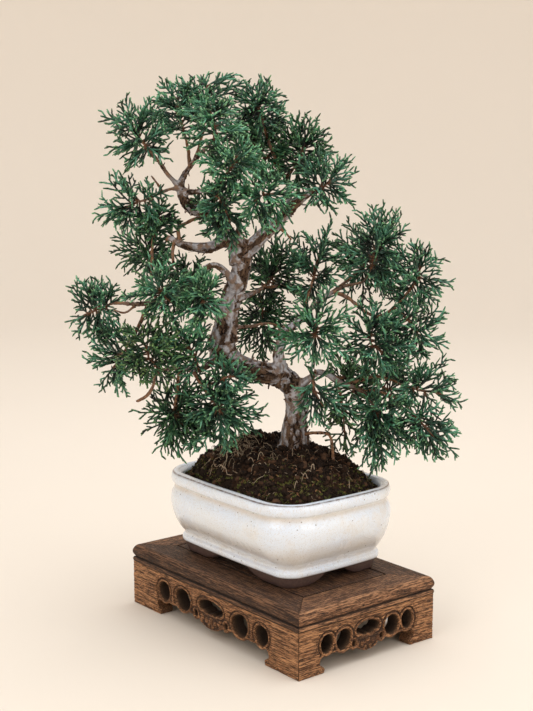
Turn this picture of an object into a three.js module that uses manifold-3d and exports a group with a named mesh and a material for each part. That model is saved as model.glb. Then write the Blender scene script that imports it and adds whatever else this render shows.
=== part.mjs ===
// A juniper bonsai in a glazed pot on a carved wooden stand.
//
// Millimetres, +Z up. The stand is laid out round its own centre, with its long side along X. The
// tree is laid out in a frame of its own, [a, d, z]: a runs across the tree's front from left to
// right, d runs from the front to the back, and the frame is turned about Z so that the tree's
// front looks over one corner of the stand. At the end everything is moved so that the origin is
// below the middle of the whole object.

import * as THREE from 'three';
import { mergeVertices } from 'three/addons/utils/BufferGeometryUtils.js';
import Module from 'manifold-3d';

// ---- driving dimensions ----

const GAP = 0.3; // clearance between a piece and what it rests in
const FLATNESS = 0.02; // what a face may stray from flat when it is made whole

const STAND = { length: 240, width: 154, height: 56, apron: 40 };
const RAIL = { width: 30, groove: 5, tongue: 4, grooveLow: 45.5, grooveHigh: 50.5 };
const PANEL = { play: 0.9, thickness: 8 };
const APRON = { thickness: 13, inset: 1.2, longFoot: 44, shortFoot: 28 };

const POT = { centre: [-4, 4], rimX: 91, rimY: 70, floor: 72, underside: 66, wall: 8.5, bow: 1.2 };
const POT_FOOT = { outerX: 73, outerY: 49, innerX: 50, innerY: 28, round: 11 };
const DRAIN = { x: 38, radius: 7, screen: 22, screenThick: 1.2, bar: 2, cells: 3 };
const SOIL = { edge: 127.5, rise: 31, halfX: 83, halfY: 62, hump: 7 };

const TREE_TURN = THREE.MathUtils.degToRad(51.3); // from the stand's long side to the tree's front
const TRUNK_STEP = 11; // length of one facet along the trunk
const LIMB_STEP = 22; // and along a limb
const CORD = 0.85; // radius of a scale-clad branchlet
const CORD_LENGTH = 21; // longest free cord
const CLEAR = 0.45; // air between cords of neighbouring sprays, and between a cord and bark

// ---- solids ----

const wasm = await Module();
wasm.setup();
const { Manifold } = wasm;

function toSolid(geometry) {
  const bare = geometry.clone();
  bare.deleteAttribute('normal');
  bare.deleteAttribute('uv');
  const merged = mergeVertices(bare, 1e-4);
  const mesh = new wasm.Mesh({
    numProp: 3,
    vertProperties: Float32Array.from(merged.attributes.position.array),
    triVerts: Uint32Array.from(merged.index.array),
  });
  return new Manifold(mesh);
}

// Flat faces that the joints have cut up are made whole again.
function toGeometry(solid) {
  const mesh = solid.asOriginal().simplify(FLATNESS).getMesh();
  const geometry = new THREE.BufferGeometry();
  geometry.setAttribute('position', new THREE.BufferAttribute(mesh.vertProperties, 3));
  geometry.setIndex(new THREE.BufferAttribute(mesh.triVerts, 1));
  geometry.computeVertexNormals();
  return geometry;
}

function cut(geometry, ...tools) {
  let solid = toSolid(geometry);
  for (const tool of tools) solid = solid.subtract(toSolid(tool));
  return toGeometry(solid);
}

function fuse(geometries) {
  return toGeometry(Manifold.union(geometries.map(toSolid)));
}

// Skins a stack of rings, each with the same number of points, and closes both ends flat.
function skin(rings) {
  const count = rings[0].length;
  const positions = rings.flat().flatMap((p) => [p.x, p.y, p.z]);
  const index = [];
  for (let row = 0; row + 1 < rings.length; row += 1) {
    for (let i = 0; i < count; i += 1) {
      const j = (i + 1) % count;
      const low = row * count;
      const high = low + count;
      index.push(low + i, low + j, high + j, low + i, high + j, high + i);
    }
  }
  const last = (rings.length - 1) * count;
  for (let i = 1; i + 1 < count; i += 1) {
    index.push(0, i + 1, i, last, last + i, last + i + 1);
  }
  const geometry = new THREE.BufferGeometry();
  geometry.setAttribute('position', new THREE.Float32BufferAttribute(positions, 3));
  geometry.setIndex(index);
  return geometry;
}

function block(x0, x1, y0, y1, z0, z1) {
  const box = new THREE.BoxGeometry(x1 - x0, y1 - y0, z1 - z0);
  return box.translate((x0 + x1) / 2, (y0 + y1) / 2, (z0 + z1) / 2);
}

const root = new THREE.Group();
const tree = new THREE.Group();
tree.rotation.z = TREE_TURN;
root.add(tree);

function addPiece(group, name, geometry, colour, roughness, metalness = 0) {
  const material = new THREE.MeshStandardMaterial({ color: colour, roughness, metalness });
  const mesh = new THREE.Mesh(geometry, material);
  mesh.name = name;
  group.add(mesh);
  return mesh;
}

// ---- the stand: a floating panel in a mitred frame, on four mitred aprons with feet ----

// The frame rail's section, outwards from the panel: grooved inside, and outside a thin bead, a
// quirk and a rounded upper moulding.
function railSection() {
  const section = new THREE.Shape();
  section.moveTo(0, STAND.apron);
  section.lineTo(28.6, STAND.apron);
  section.quadraticCurveTo(29.8, 42, 28.6, 44);
  section.lineTo(27.4, 44.6);
  section.lineTo(29.2, 45.6);
  section.quadraticCurveTo(30.6, 49, 28.6, 52);
  section.quadraticCurveTo(27.4, 54.4, 24.5, STAND.height);
  section.lineTo(0, STAND.height);
  section.lineTo(0, RAIL.grooveHigh);
  section.lineTo(RAIL.groove, RAIL.grooveHigh);
  section.lineTo(RAIL.groove, RAIL.grooveLow);
  section.lineTo(0, RAIL.grooveLow);
  return section;
}

// A rail along X at the front, its ends cut at 45 degrees.
function rail(length, halfDepth) {
  const inner = halfDepth - RAIL.width;
  const innerEnd = length / 2 - RAIL.width;
  const bar = new THREE.ExtrudeGeometry(railSection(), {
    depth: 1,
    bevelEnabled: false,
    curveSegments: 3,
  });
  const position = bar.attributes.position;
  for (let i = 0; i < position.count; i += 1) {
    const out = position.getX(i);
    const side = position.getZ(i) < 0.5 ? 1 : -1;
    position.setXYZ(i, side * (innerEnd + out - GAP), -inner - out, position.getY(i));
  }
  return bar;
}

// The apron's lower outline: feet at both ends with a cove above each toe, and a scalloped skirt
// that hangs lowest in the middle.
function apronOutline(length, foot) {
  const end = length / 2 - APRON.inset - GAP;
  const toe = length / 2 - foot;
  const outline = new THREE.Shape();
  outline.moveTo(-end, 0);
  outline.lineTo(-toe, 0);
  outline.lineTo(-toe, 6);
  outline.quadraticCurveTo(-toe - 5, 9, -toe, 13);
  outline.quadraticCurveTo(-toe * 0.8, 15, -toe * 0.66, 11.5);
  outline.quadraticCurveTo(-toe * 0.5, 9.5, -toe * 0.36, 10);
  outline.quadraticCurveTo(0, 6, toe * 0.36, 10);
  outline.quadraticCurveTo(toe * 0.5, 9.5, toe * 0.66, 11.5);
  outline.quadraticCurveTo(toe * 0.8, 15, toe, 13);
  outline.quadraticCurveTo(toe + 5, 9, toe, 6);
  outline.lineTo(toe, 0);
  outline.lineTo(end, 0);
  outline.lineTo(end, STAND.apron);
  outline.lineTo(-end, STAND.apron);
  return outline;
}

function apron(length, foot, piercings) {
  const shape = apronOutline(length, foot);
  for (const [x, z, radiusX, radiusZ] of piercings) {
    const hole = new THREE.Path();
    hole.absellipse(x, z, radiusX, radiusZ, 0, 2 * Math.PI, true);
    shape.holes.push(hole);
  }
  const board = new THREE.ExtrudeGeometry(shape, {
    depth: APRON.thickness,
    bevelEnabled: false,
    curveSegments: 4,
  });
  const end = length / 2 - APRON.inset - GAP;
  const position = board.attributes.position;
  for (let i = 0; i < position.count; i += 1) {
    const x = position.getX(i);
    if (Math.abs(x) > end - 0.01 && position.getZ(i) < APRON.thickness / 2) {
      position.setX(i, x - Math.sign(x) * APRON.thickness);
    }
  }
  board.rotateX(Math.PI / 2);
  return board.translate(0, APRON.thickness, 0);
}

// The carving's openings: [x, z, half width, half height].
const LONG_PIERCINGS = [[-70, 23.5, 7.5, 7.5], [-41, 23.5, 10, 8.5], [0, 27, 16, 5.5],
  [41, 23.5, 10, 8.5], [70, 23.5, 7.5, 7.5], [-21, 17, 2.6, 2.6], [21, 17, 2.6, 2.6]];
const SHORT_PIERCINGS = [[-45, 24, 6, 7], [-27, 23.5, 7, 8], [0, 27.5, 12, 5.5],
  [27, 23.5, 7, 8], [45, 24, 6, 7], [-14.5, 17, 2.2, 2.2], [14.5, 17, 2.2, 2.2]];

function addStand() {
  const dark = '#4a2f20';
  const light = '#6f4a30';
  const halfX = STAND.length / 2;
  const halfY = STAND.width / 2;

  const panelX = halfX - RAIL.width;
  const panelY = halfY - RAIL.width;
  const play = PANEL.play;
  const lip = RAIL.tongue;
  const face = block(-panelX + play, panelX - play, -panelY + play, panelY - play,
    STAND.height - PANEL.thickness - 2, STAND.height);
  const tongue = block(-panelX - lip, panelX + lip, -panelY - lip, panelY + lip,
    RAIL.grooveLow + GAP, RAIL.grooveHigh - GAP);
  addPiece(root, 'stand_panel', fuse([face, tongue]), dark, 0.6);

  const longRail = rail(STAND.length, halfY);
  const shortRail = rail(STAND.width, halfX);
  const longApron = apron(STAND.length, APRON.longFoot, LONG_PIERCINGS);
  const shortApron = apron(STAND.width, APRON.shortFoot, SHORT_PIERCINGS);
  const sides = [
    ['front', 0, longRail, longApron, halfY],
    ['right', 1, shortRail, shortApron, halfX],
    ['back', 2, longRail, longApron, halfY],
    ['left', 3, shortRail, shortApron, halfX],
  ];
  for (const [side, turns, railGeometry, apronGeometry, reach] of sides) {
    const angle = (turns * Math.PI) / 2;
    const railMesh = addPiece(root, `stand_rail_${side}`, railGeometry, dark, 0.55);
    railMesh.rotation.z = angle;
    const apronMesh = addPiece(root, `stand_apron_${side}`, apronGeometry, light, 0.65);
    const offset = reach - APRON.inset;
    apronMesh.position.set(offset * Math.sin(angle), -offset * Math.cos(angle), 0);
    apronMesh.rotation.z = angle;
  }
}

// ---- the pot ----

// A rounded rectangle with slightly bowed sides, as a ring of points at height z.
function potRing(halfX, halfY, radius, z) {
  const corner = 4; // steps round each corner
  const points = [];
  const quadrants = [[1, 1], [-1, 1], [-1, -1], [1, -1]];
  quadrants.forEach(([sx, sy], quadrant) => {
    for (let i = 0; i <= corner; i += 1) {
      const angle = (quadrant + i / corner) * (Math.PI / 2);
      const x = sx * (halfX - radius) + radius * Math.cos(angle);
      const y = sy * (halfY - radius) + radius * Math.sin(angle);
      points.push(new THREE.Vector3(x, y, z));
    }
    const along = quadrant % 2 === 0;
    const mid = along
      ? new THREE.Vector3(0, sy * (halfY + POT.bow), z)
      : new THREE.Vector3(sx * (halfX + POT.bow), 0, z);
    points.push(mid);
  });
  return points;
}

// The outer ring at a height, from how far it stands out from the rim's outline. The plan grows
// squarer towards the foot.
function potLevel([out, z]) {
  return potRing(POT.rimX + out * 0.9, POT.rimY + out * 1.12, 38 + out * 1.6, z);
}

// [out, z] from the bare underside, up the foot band, the belly, the recess and the rounded lip.
const OUTER = [[-13.2, 66], [-11.8, 67.4], [-11.8, 70.6], [-14.4, 72.8], [-14, 75], [-9.6, 79.8],
  [-4.6, 87], [-0.8, 96], [1.2, 105], [0.6, 111], [-2.8, 117.4], [-3.4, 119.6], [-0.6, 122.2],
  [0.6, 126], [-0.6, 130], [-3.4, 131.5], [-7, 131.2]];

function innerLevel(inset, radius, z) {
  return potRing(POT.rimX - inset, POT.rimY - inset, radius, z);
}

// One corner foot: a bracket that tapers towards the ground and follows the pot's corner.
function potFoot(sx, sy) {
  const levels = [[0, 0, STAND.height], [3.2, 4.5, 60.5], [4.6, 9, POT.underside + 1]];
  const { outerX, outerY, innerX, innerY, round } = POT_FOOT;
  const cutBack = 0.29 * round; // from the square corner to the middle of the rounded one
  const rings = levels.map(([out, reach, z]) => {
    const x1 = outerX + out;
    const y1 = outerY + out;
    const x0 = innerX - reach;
    const y0 = innerY - reach;
    const plan = [[x0, y0 + 6], [x0 + 8, y0], [x1, y0], [x1, y1 - round],
      [x1 - cutBack, y1 - cutBack], [x1 - round, y1], [x0, y1]];
    const ring = plan.map(([x, y]) => new THREE.Vector3(sx * x, sy * y, z));
    return sx * sy > 0 ? ring : ring.reverse();
  });
  return skin(rings);
}

function addPot() {
  const outer = OUTER.map(potLevel);
  const inner = [innerLevel(POT.wall, 31, 128), innerLevel(POT.wall, 31, 100),
    innerLevel(15, 24, 82), innerLevel(24, 18, POT.floor)];
  const body = toSolid(skin([...outer, ...inner]));
  const feet = [[1, 1], [1, -1], [-1, 1], [-1, -1]].map(([sx, sy]) => toSolid(potFoot(sx, sy)));
  const fired = Manifold.union([body, ...feet]);
  const drains = [-1, 1].map((side) => {
    const bore = new THREE.CylinderGeometry(DRAIN.radius, DRAIN.radius, 20, 12);
    return toSolid(bore.rotateX(Math.PI / 2).translate(side * DRAIN.x, 0, 69));
  });
  const geometry = toGeometry(fired.subtract(Manifold.union(drains)));
  const pot = addPiece(root, 'pot', geometry, '#e6e0d3', 0.25);
  pot.position.set(POT.centre[0], POT.centre[1], 0);
}

// ---- drainage screens: a plastic net square over each drain hole, under the soil ----

function screenGeometry(x) {
  const half = DRAIN.screen / 2;
  const low = POT.floor + GAP;
  const high = low + DRAIN.screenThick;
  const plate = block(x - half, x + half, -half, half, low, high);
  const holes = [];
  const cell = (DRAIN.screen - DRAIN.bar) / DRAIN.cells;
  for (let i = 0; i < DRAIN.cells; i += 1) {
    for (let j = 0; j < DRAIN.cells; j += 1) {
      const left = x - half + DRAIN.bar + i * cell;
      const front = -half + DRAIN.bar + j * cell;
      const open = cell - DRAIN.bar;
      holes.push(block(left, left + open, front, front + open, low - 1, high + 1));
    }
  }
  return cut(plate, ...holes);
}

function addScreens() {
  for (const [name, x] of [['left', -DRAIN.x], ['right', DRAIN.x]]) {
    const screen = addPiece(root, `drainage_screen_${name}`, screenGeometry(x), '#1c1d1c', 0.7);
    screen.position.set(POT.centre[0], POT.centre[1], 0);
  }
}

// ---- the tree's wood ----

// Each limb is a list of [a, d, z, radius]; the photograph's front view is laid down in a and z.
const TRUNK = [[15, 10, 140, 15], [15, 8, 152, 15], [14, 5, 163, 12.6], [15, 2, 182, 10.4],
  [16, 0, 198, 9.8], [13, -3, 212, 10], [3, -6, 222, 10], [-10, -8, 226, 9.2],
  [-21, -8, 228, 9], [-32, -7, 231, 9.6], [-43, -4, 237, 11], [-49, -2, 247, 11.6],
  [-47, 0, 257, 11], [-45, 2, 269, 10], [-42, 4, 286, 8.9], [-36, 4, 301, 8.6],
  [-32, 2, 316, 8.4], [-32, 0, 330, 8], [-33, 0, 340, 6.5]];

const LIMBS = {
  upper_left: [[-33, 0, 334, 5.5], [-43, -2, 339, 4.9], [-61, -4, 334, 4.8], [-75, -6, 335, 4.3],
    [-85, -8, 338, 3.6], [-93, -10, 343, 2.6], [-96, -10, 340, 1.6]],
  upper_left_twist: [[-84, -8, 339, 2.6], [-85, -6, 350, 2.2], [-76, 2, 356, 2], [-63, 5, 361, 1.6],
    [-58, 4, 366, 1.2]],
  upper_left_drop: [[-88, -9, 341, 2], [-90, -12, 331, 1.7], [-89, -16, 319, 1.2]],
  upper_right: [[-32, 0, 328, 6.5], [-21, 4, 336, 6], [-12, 8, 345, 5.8], [-2, 10, 353, 5.6],
    [6, 10, 362, 5.2], [15, 8, 371, 4.6], [27, 4, 380, 3.6], [37, 0, 384, 1.4]],
  upper_right_twig: [[-3, 10, 352, 2.2], [5, 15, 346, 1.6], [11, 19, 339, 1.1]],
  crown_stem: [[-34, 0, 320, 6.5], [-38, 2, 336, 6.2], [-48, 8, 352, 5.8], [-58, 7, 361, 5.2],
    [-66, 4, 364, 5], [-74, 2, 366, 4.9], [-80, 0, 373, 4.8], [-83, 0, 383, 4.6],
    [-86, 0, 390, 3.6]],
  crown_left: [[-85, 0, 386, 3.6], [-93, -4, 395, 2.9], [-102, -8, 408, 2.5], [-112, -10, 420, 2.1],
    [-117, -10, 427, 1.1]],
  crown_middle: [[-84, 0, 385, 4], [-82, 2, 392, 3.6], [-73, 0, 405, 3.3], [-62, -15, 417, 2.8],
    [-53, -27, 427, 2], [-53, -28, 436, 1.1]],
  crown_top: [[-70, -4, 408, 2.4], [-66, 5, 425, 2], [-63, 15, 444, 1.6], [-62, 19, 457, 1.1]],
  crown_back: [[-75, 0, 402, 2.2], [-77, 6, 416, 1.8], [-80, 8, 430, 1.5], [-84, 8, 444, 1.1]],
  crown_side: [[-82, 0, 382, 3.4], [-89, -4, 384, 2.4], [-99, -8, 381, 2], [-109, -10, 376, 1.7],
    [-119, -12, 373, 1.1]],
  crown_spur: [[-98, -8, 381, 1.4], [-102, -9, 388, 1.2], [-107, -10, 395, 0.8]],
  crown_front: [[-80, 0, 381, 3.4], [-66, -15, 382, 2.8], [-53, -28, 386, 2.2],
    [-44, -37, 397, 1.6], [-40, -40, 403, 1.1]],
  crown_front_low: [[-57, -24, 384, 1.8], [-49, -30, 377, 1.5], [-45, -31, 371, 1.1]],
  front_riser: [[-33, 0, 332, 4], [-34, -13, 348, 3], [-31, -27, 362, 2.2], [-20, -38, 375, 1.6],
    [-13, -42, 381, 1.1]],
  back_riser: [[9, 10, 366, 3.4], [9, 20, 384, 2.8], [0, 28, 402, 2.4], [-9, 28, 424, 1.9],
    [-14, 24, 440, 1.5], [-16, 23, 449, 1.1]],
  back_left_twig: [[0, 28, 402, 1.9], [-9, 34, 408, 1.5], [-17, 38, 415, 1.1]],
  back_right_twig: [[6, 24, 392, 2.1], [14, 27, 401, 1.6], [19, 28, 409, 1.1]],
  left_main: [[-34, 0, 324, 5], [-50, -8, 326, 3.8], [-63, -20, 317, 3.4], [-74, -30, 305, 3.1],
    [-89, -34, 292, 2.8], [-106, -29, 290, 2.5], [-122, -25, 288, 2.1], [-138, -16, 288, 1.7],
    [-156, -10, 281, 1.1]],
  left_front: [[-66, -23, 314, 2], [-62, -38, 307, 1.6], [-59, -52, 299, 1.1]],
  left_front_outer: [[-90, -34, 292, 1.9], [-96, -38, 297, 1.4], [-97, -41, 299, 1.1]],
  left_riser: [[-102, -31, 291, 2], [-107, -18, 303, 1.9], [-108, -5, 322, 1.7],
    [-107, -3, 342, 1.5], [-104, 1, 355, 1.1]],
  left_back_twig: [[-108, -8, 316, 1.6], [-111, 8, 321, 1.4], [-114, 25, 326, 1.1]],
  left_drop: [[-110, -28, 289, 2.2], [-118, -26, 270, 1.9], [-127, -24, 254, 1.6],
    [-134, -22, 244, 1.1]],
  left_spur: [[-121, -26, 287, 1.5], [-130, -26, 281, 1.2], [-139, -25, 283, 0.9]],
  back_left: [[-44, 4, 281, 4], [-56, 18, 283, 2.8], [-68, 33, 290, 2], [-79, 42, 297, 1.1]],
  low_left: [[-46, -2, 245, 5], [-58, -14, 236, 3.6], [-68, -28, 232, 3], [-80, -38, 235, 2.6],
    [-92, -42, 236, 2.3], [-103, -41, 231, 2.1], [-106, -38, 220, 2], [-112, -36, 211, 1.9],
    [-121, -34, 206, 1.8]],
  low_left_pad: [[-98, -42, 234, 1.6], [-104, -46, 240, 1.3], [-108, -48, 245, 1.1]],
  low_left_inner: [[-68, -28, 232, 1.8], [-69, -36, 240, 1.5], [-70, -41, 247, 1.1]],
  hang_left: [[-84, -39, 235, 1.9], [-86, -31, 216, 1.6], [-89, -22, 199, 1.4], [-91, -20, 188, 1.1]],
  hang_right: [[-73, -32, 233, 1.9], [-65, -36, 220, 1.6], [-55, -38, 208, 1.4], [-50, -38, 200, 1.1]],
  hang_tuft: [[-65, -36, 220, 1.4], [-53, -44, 225, 1.2], [-43, -49, 230, 1.1]],
  stub: [[3, -6, 218, 7.5], [1, -8, 234, 6.4], [0, -8, 243, 5.8], [2, -6, 252, 5.6],
    [5, -5, 261, 4.8], [8, -4, 264, 3]],
  middle_right: [[-44, 2, 265, 4], [-38, 4, 265, 3.2], [-26, 8, 266, 2.7], [-12, 12, 268, 2.5],
    [-3, 13, 266, 2.2], [1, 9, 262, 1.9], [1, 3, 256, 1.6]],
  back_right: [[-34, 4, 290, 3.6], [-26, 20, 290, 2.8], [-14, 32, 295, 2.3], [-6, 42, 301, 1.1]],
  back_right_out: [[-14, 32, 295, 1.8], [4, 40, 296, 1.5], [24, 45, 293, 0.9]],
  back_right_low: [[-18, 29, 293, 1.8], [-15, 40, 280, 1.5], [-14, 47, 268, 1.1]],
  right_riser: [[4, -5, 258, 4.4], [19, 1, 272, 3.4], [36, 6, 287, 2.8], [48, 6, 295, 2.5],
    [58, 6, 300, 2.2], [72, 7, 303, 1.9], [79, 8, 311, 1.6], [82, 10, 326, 1.1]],
  right_top_twig: [[22, 3, 275, 2], [26, 12, 292, 1.6], [32, 19, 309, 1.1]],
  right_middle: [[48, 6, 295, 2.3], [60, 2, 290, 2.1], [73, -5, 280, 2], [84, -8, 275, 1.9],
    [93, -6, 278, 1.7], [103, -4, 286, 1.5], [112, -2, 296, 1.4], [120, 0, 307, 1.1]],
  right_inner: [[74, -6, 279, 1.6], [76, -14, 266, 1.4], [79, -20, 253, 1.1]],
  right_outer: [[99, -5, 282, 1.5], [108, -7, 275, 1.3], [117, -8, 266, 1.1]],
  right_back: [[40, 7, 290, 2.2], [55, 24, 298, 1.8], [72, 42, 310, 1.4], [81, 50, 317, 1.1]],
  front_middle: [[34, 5, 285, 2.2], [33, -10, 281, 1.8], [32, -27, 272, 1.5], [31, -39, 266, 1.1]],
  low_right: [[14, -3, 210, 5], [27, -7, 221, 3.8], [34, -10, 227, 3.4], [43, -12, 225, 3.1],
    [50, -12, 220, 2.9], [58, -14, 217, 2.5], [69, -16, 213, 2.1], [78, -22, 206, 1.7],
    [84, -32, 195, 1.1]],
  low_right_upper: [[56, -13, 217, 1.9], [69, -13, 220, 1.7], [84, -14, 224, 1.5],
    [97, -16, 221, 1.4], [110, -18, 216, 1.3], [122, -21, 213, 1.1]],
  low_right_outer: [[69, -16, 213, 1.7], [84, -19, 212, 1.5], [98, -22, 208, 1.4],
    [113, -26, 196, 1.3], [124, -29, 184, 1.1]],
  low_right_back: [[46, -12, 223, 2], [62, 4, 219, 1.7], [82, 20, 212, 1.4], [99, 28, 204, 1.1]],
  low_right_inner: [[60, -14, 216, 1.5], [64, -6, 212, 1.3], [66, 0, 208, 1.1]],
  low_thin: [[50, -12, 220, 1.5], [54, -12, 206, 1.3], [56, -12, 192, 1.1]],
  front_fan: [[32, -9, 226, 2.4], [27, -24, 231, 1.9], [22, -38, 225, 1.5], [22, -43, 218, 1.1]],
  root_loop: [[14, 4, 164, 4], [24, -4, 171, 3.2], [34, -13, 174, 2.9], [43, -19, 174, 2.7],
    [46, -22, 166, 2.6], [47, -24, 153, 2.6], [47, -24, 144, 2.4]],
};

// A direction square to the given one, the same for every stick that runs the same way.
function firstAcross(along) {
  const lean = new THREE.Vector3(0.31, 0.95, 0.07);
  return lean.addScaledVector(along, -lean.dot(along)).normalize();
}

// Rings along a smooth line through the limb's points, grown outwards by extra.
function limbRings(points, sides, spacing, extra) {
  const line = points.map(([a, d, z]) => new THREE.Vector3(a, d, z));
  const curve = new THREE.CatmullRomCurve3(line, false, 'centripetal');
  const centres = [];
  const radii = [];
  const spans = points.length - 1;
  for (let i = 0; i < spans; i += 1) {
    const steps = Math.max(1, Math.round(line[i].distanceTo(line[i + 1]) / spacing));
    for (let step = i === 0 ? 0 : 1; step <= steps; step += 1) {
      const t = step / steps;
      centres.push(curve.getPoint((i + t) / spans));
      radii.push(THREE.MathUtils.lerp(points[i][3], points[i + 1][3], t) + extra);
    }
  }
  let across = firstAcross(centres[1].clone().sub(centres[0]).normalize());
  const rings = centres.map((centre, i) => {
    const before = centres[Math.max(i - 1, 0)];
    const after = centres[Math.min(i + 1, centres.length - 1)];
    const along = after.clone().sub(before).normalize();
    across = across.clone().addScaledVector(along, -across.dot(along)).normalize();
    const up = along.clone().cross(across);
    const ring = [];
    for (let k = 0; k < sides; k += 1) {
      const angle = (k / sides) * 2 * Math.PI;
      ring.push(centre.clone()
        .addScaledVector(across, radii[i] * Math.cos(angle))
        .addScaledVector(up, radii[i] * Math.sin(angle)));
    }
    return ring;
  });
  return { centres, radii, rings };
}

function limbSides(points) {
  const thickest = points[0][3];
  if (thickest > 4) return 6;
  return thickest > 1.9 ? 4 : 3;
}

function woodSolid(extra) {
  const limbs = [skin(limbRings(TRUNK, 8, TRUNK_STEP, extra).rings)];
  for (const points of Object.values(LIMBS)) {
    limbs.push(skin(limbRings(points, limbSides(points), LIMB_STEP, extra).rings));
  }
  return Manifold.union(limbs.map(toSolid));
}

function addWood() {
  addPiece(tree, 'tree_wood', toGeometry(woodSolid(0)), '#7d6f66', 0.85);
}

// ---- the soil, heaped from the rim up to the trunk, with plain holes for trunk and root ----

// Height of the soil in the pot's own frame: a full dome with a hump at the left of the trunk.
function soilHeight(x, y) {
  const across = Math.abs(x / SOIL.halfX) ** 1.5;
  const deep = Math.abs(y / SOIL.halfY) ** 1.5;
  const spread = Math.hypot(across, deep);
  const dome = SOIL.rise * Math.max(0, 1 - spread ** 2.4);
  const hump = SOIL.hump * Math.exp(-(((x + 32) / 24) ** 2) - ((y + 2) / 20) ** 2);
  const lumps = Math.sin(x * 0.21) * Math.cos(y * 0.27 + 1) + 0.7 * Math.sin(x * 0.4 + y * 0.33);
  return SOIL.edge + dome + hump * Math.max(0, 1 - spread) + lumps * Math.min(1, 3 * (1 - spread));
}

function soilGeometry() {
  const shy = GAP + 0.15;
  const walls = [innerLevel(24 + shy, 18, POT.floor + GAP), innerLevel(15 + shy, 24, 82 + 0.2),
    innerLevel(POT.wall + shy, 31, 100)];
  const edge = innerLevel(POT.wall + shy, 31, SOIL.edge);
  const tops = [1, 0.93, 0.82, 0.68, 0.52, 0.34, 0.16].map((share) =>
    edge.map((p) => {
      const x = p.x * share;
      const y = p.y * share;
      const height = share === 1 ? SOIL.edge - 2.5 : soilHeight(x, y);
      return new THREE.Vector3(x, y, height);
    }),
  );
  return skin([...walls, ...tops]);
}

function addSoil() {
  const wood = toGeometry(woodSolid(GAP)).rotateZ(TREE_TURN);
  wood.translate(-POT.centre[0], -POT.centre[1], 0);
  const half = DRAIN.screen / 2 + GAP;
  const pocketTop = POT.floor + GAP + DRAIN.screenThick + GAP;
  const pockets = [-DRAIN.x, DRAIN.x].map((x) =>
    block(x - half, x + half, -half, half, POT.floor - 1, pocketTop));
  const soil = addPiece(root, 'soil', cut(soilGeometry(), wood, ...pockets), '#33241b', 0.95);
  soil.position.set(POT.centre[0], POT.centre[1], 0);
}

// ---- the foliage: sprays of scale-clad cords, each spray on the end of its own twig ----

const GREEN = '#2f6a4b';
const BRIGHT = '#3d7d55';
const DEEP = '#254f3b';
const OLIVE = '#4c6b35';

// [name, twig that carries it, middle [a, d, z], half size [a, d, z], colour]
const SPRAYS = [
  ['top_left', 'crown_left', [-118, -10, 431], [29, 24, 29], GREEN],
  ['top_back', 'crown_back', [-84, 8, 452], [23, 22, 21], GREEN],
  ['top_crown', 'crown_top', [-62, 20, 466], [24, 22, 18], GREEN],
  ['top_front', 'crown_middle', [-56, -28, 440], [26, 22, 22], BRIGHT],
  ['top_right', 'back_riser', [-16, 22, 454], [24, 24, 23], GREEN],
  ['upper_back', 'back_left_twig', [-17, 40, 418], [26, 26, 26], DEEP],
  ['upper_right', 'back_right_twig', [20, 30, 413], [23, 22, 25], DEEP],
  ['right_tip', 'upper_right', [35, 0, 388], [32, 26, 26], GREEN],
  ['front_upper', 'crown_front', [-39, -42, 406], [25, 20, 21], BRIGHT],
  ['front_middle_left', 'crown_front_low', [-45, -32, 366], [21, 20, 26], GREEN],
  ['front_middle_right', 'front_riser', [-12, -44, 377], [24, 20, 24], BRIGHT],
  ['middle_back', 'upper_left_twist', [-57, 6, 372], [14, 16, 13], DEEP],
  ['left_upper', 'crown_side', [-124, -12, 370], [24, 20, 23], GREEN],
  ['left_upper_low', 'left_riser', [-103, 2, 357], [18, 18, 18], DEEP],
  ['left_back', 'left_back_twig', [-114, 28, 327], [21, 20, 21], DEEP],
  ['left_front_outer', 'left_front_outer', [-97, -42, 299], [27, 22, 27], BRIGHT],
  ['left_front_inner', 'left_front', [-59, -56, 295], [22, 20, 29], BRIGHT],
  ['far_left', 'left_main', [-159, -10, 280], [22, 20, 25], GREEN],
  ['left_low', 'left_drop', [-135, -22, 242], [26, 24, 28], GREEN],
  ['left_middle_low', 'low_left_pad', [-106, -49, 252], [23, 20, 24], OLIVE],
  ['left_inner_low', 'low_left_inner', [-70, -43, 252], [23, 20, 23], GREEN],
  ['back_left', 'back_left', [-82, 45, 298], [27, 24, 25], DEEP],
  ['hanging_left', 'hang_left', [-91, -20, 184], [28, 20, 31], DEEP],
  ['hanging_right', 'hang_right', [-49, -38, 196], [25, 20, 29], GREEN],
  ['hanging_tuft', 'hang_tuft', [-40, -50, 229], [15, 13, 19], GREEN],
  ['back_upper', 'back_right', [-6, 46, 305], [20, 20, 25], DEEP],
  ['back_lower', 'back_right_low', [-14, 49, 262], [20, 18, 23], DEEP],
  ['right_top_inner', 'right_top_twig', [33, 21, 316], [23, 22, 28], GREEN],
  ['right_top', 'right_riser', [82, 10, 331], [25, 24, 29], GREEN],
  ['right_top_outer', 'right_middle', [121, 0, 312], [25, 22, 27], GREEN],
  ['right_back', 'right_back', [86, 54, 320], [25, 22, 26], DEEP],
  ['front_middle', 'front_middle', [31, -43, 264], [28, 21, 30], BRIGHT],
  ['right_inner', 'right_inner', [80, -22, 249], [23, 20, 24], GREEN],
  ['right_outer', 'right_outer', [119, -8, 259], [26, 22, 29], GREEN],
  ['front_fan', 'front_fan', [23, -45, 211], [31, 15, 28], GREEN],
  ['low_right_inner', 'low_right', [87, -38, 186], [25, 19, 34], GREEN],
  ['low_right_outer', 'low_right_upper', [128, -22, 213], [29, 21, 25], GREEN],
  ['low_right_tip', 'low_right_outer', [128, -30, 179], [24, 20, 22], GREEN],
  ['low_right_back', 'low_right_back', [104, 30, 202], [26, 20, 25], DEEP],
  ['low_back_twigs', 'low_right_inner', [67, 4, 206], [15, 13, 20], OLIVE],
  ['low_thin', 'low_thin', [57, -12, 177], [18, 13, 26], OLIVE],
];
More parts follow.
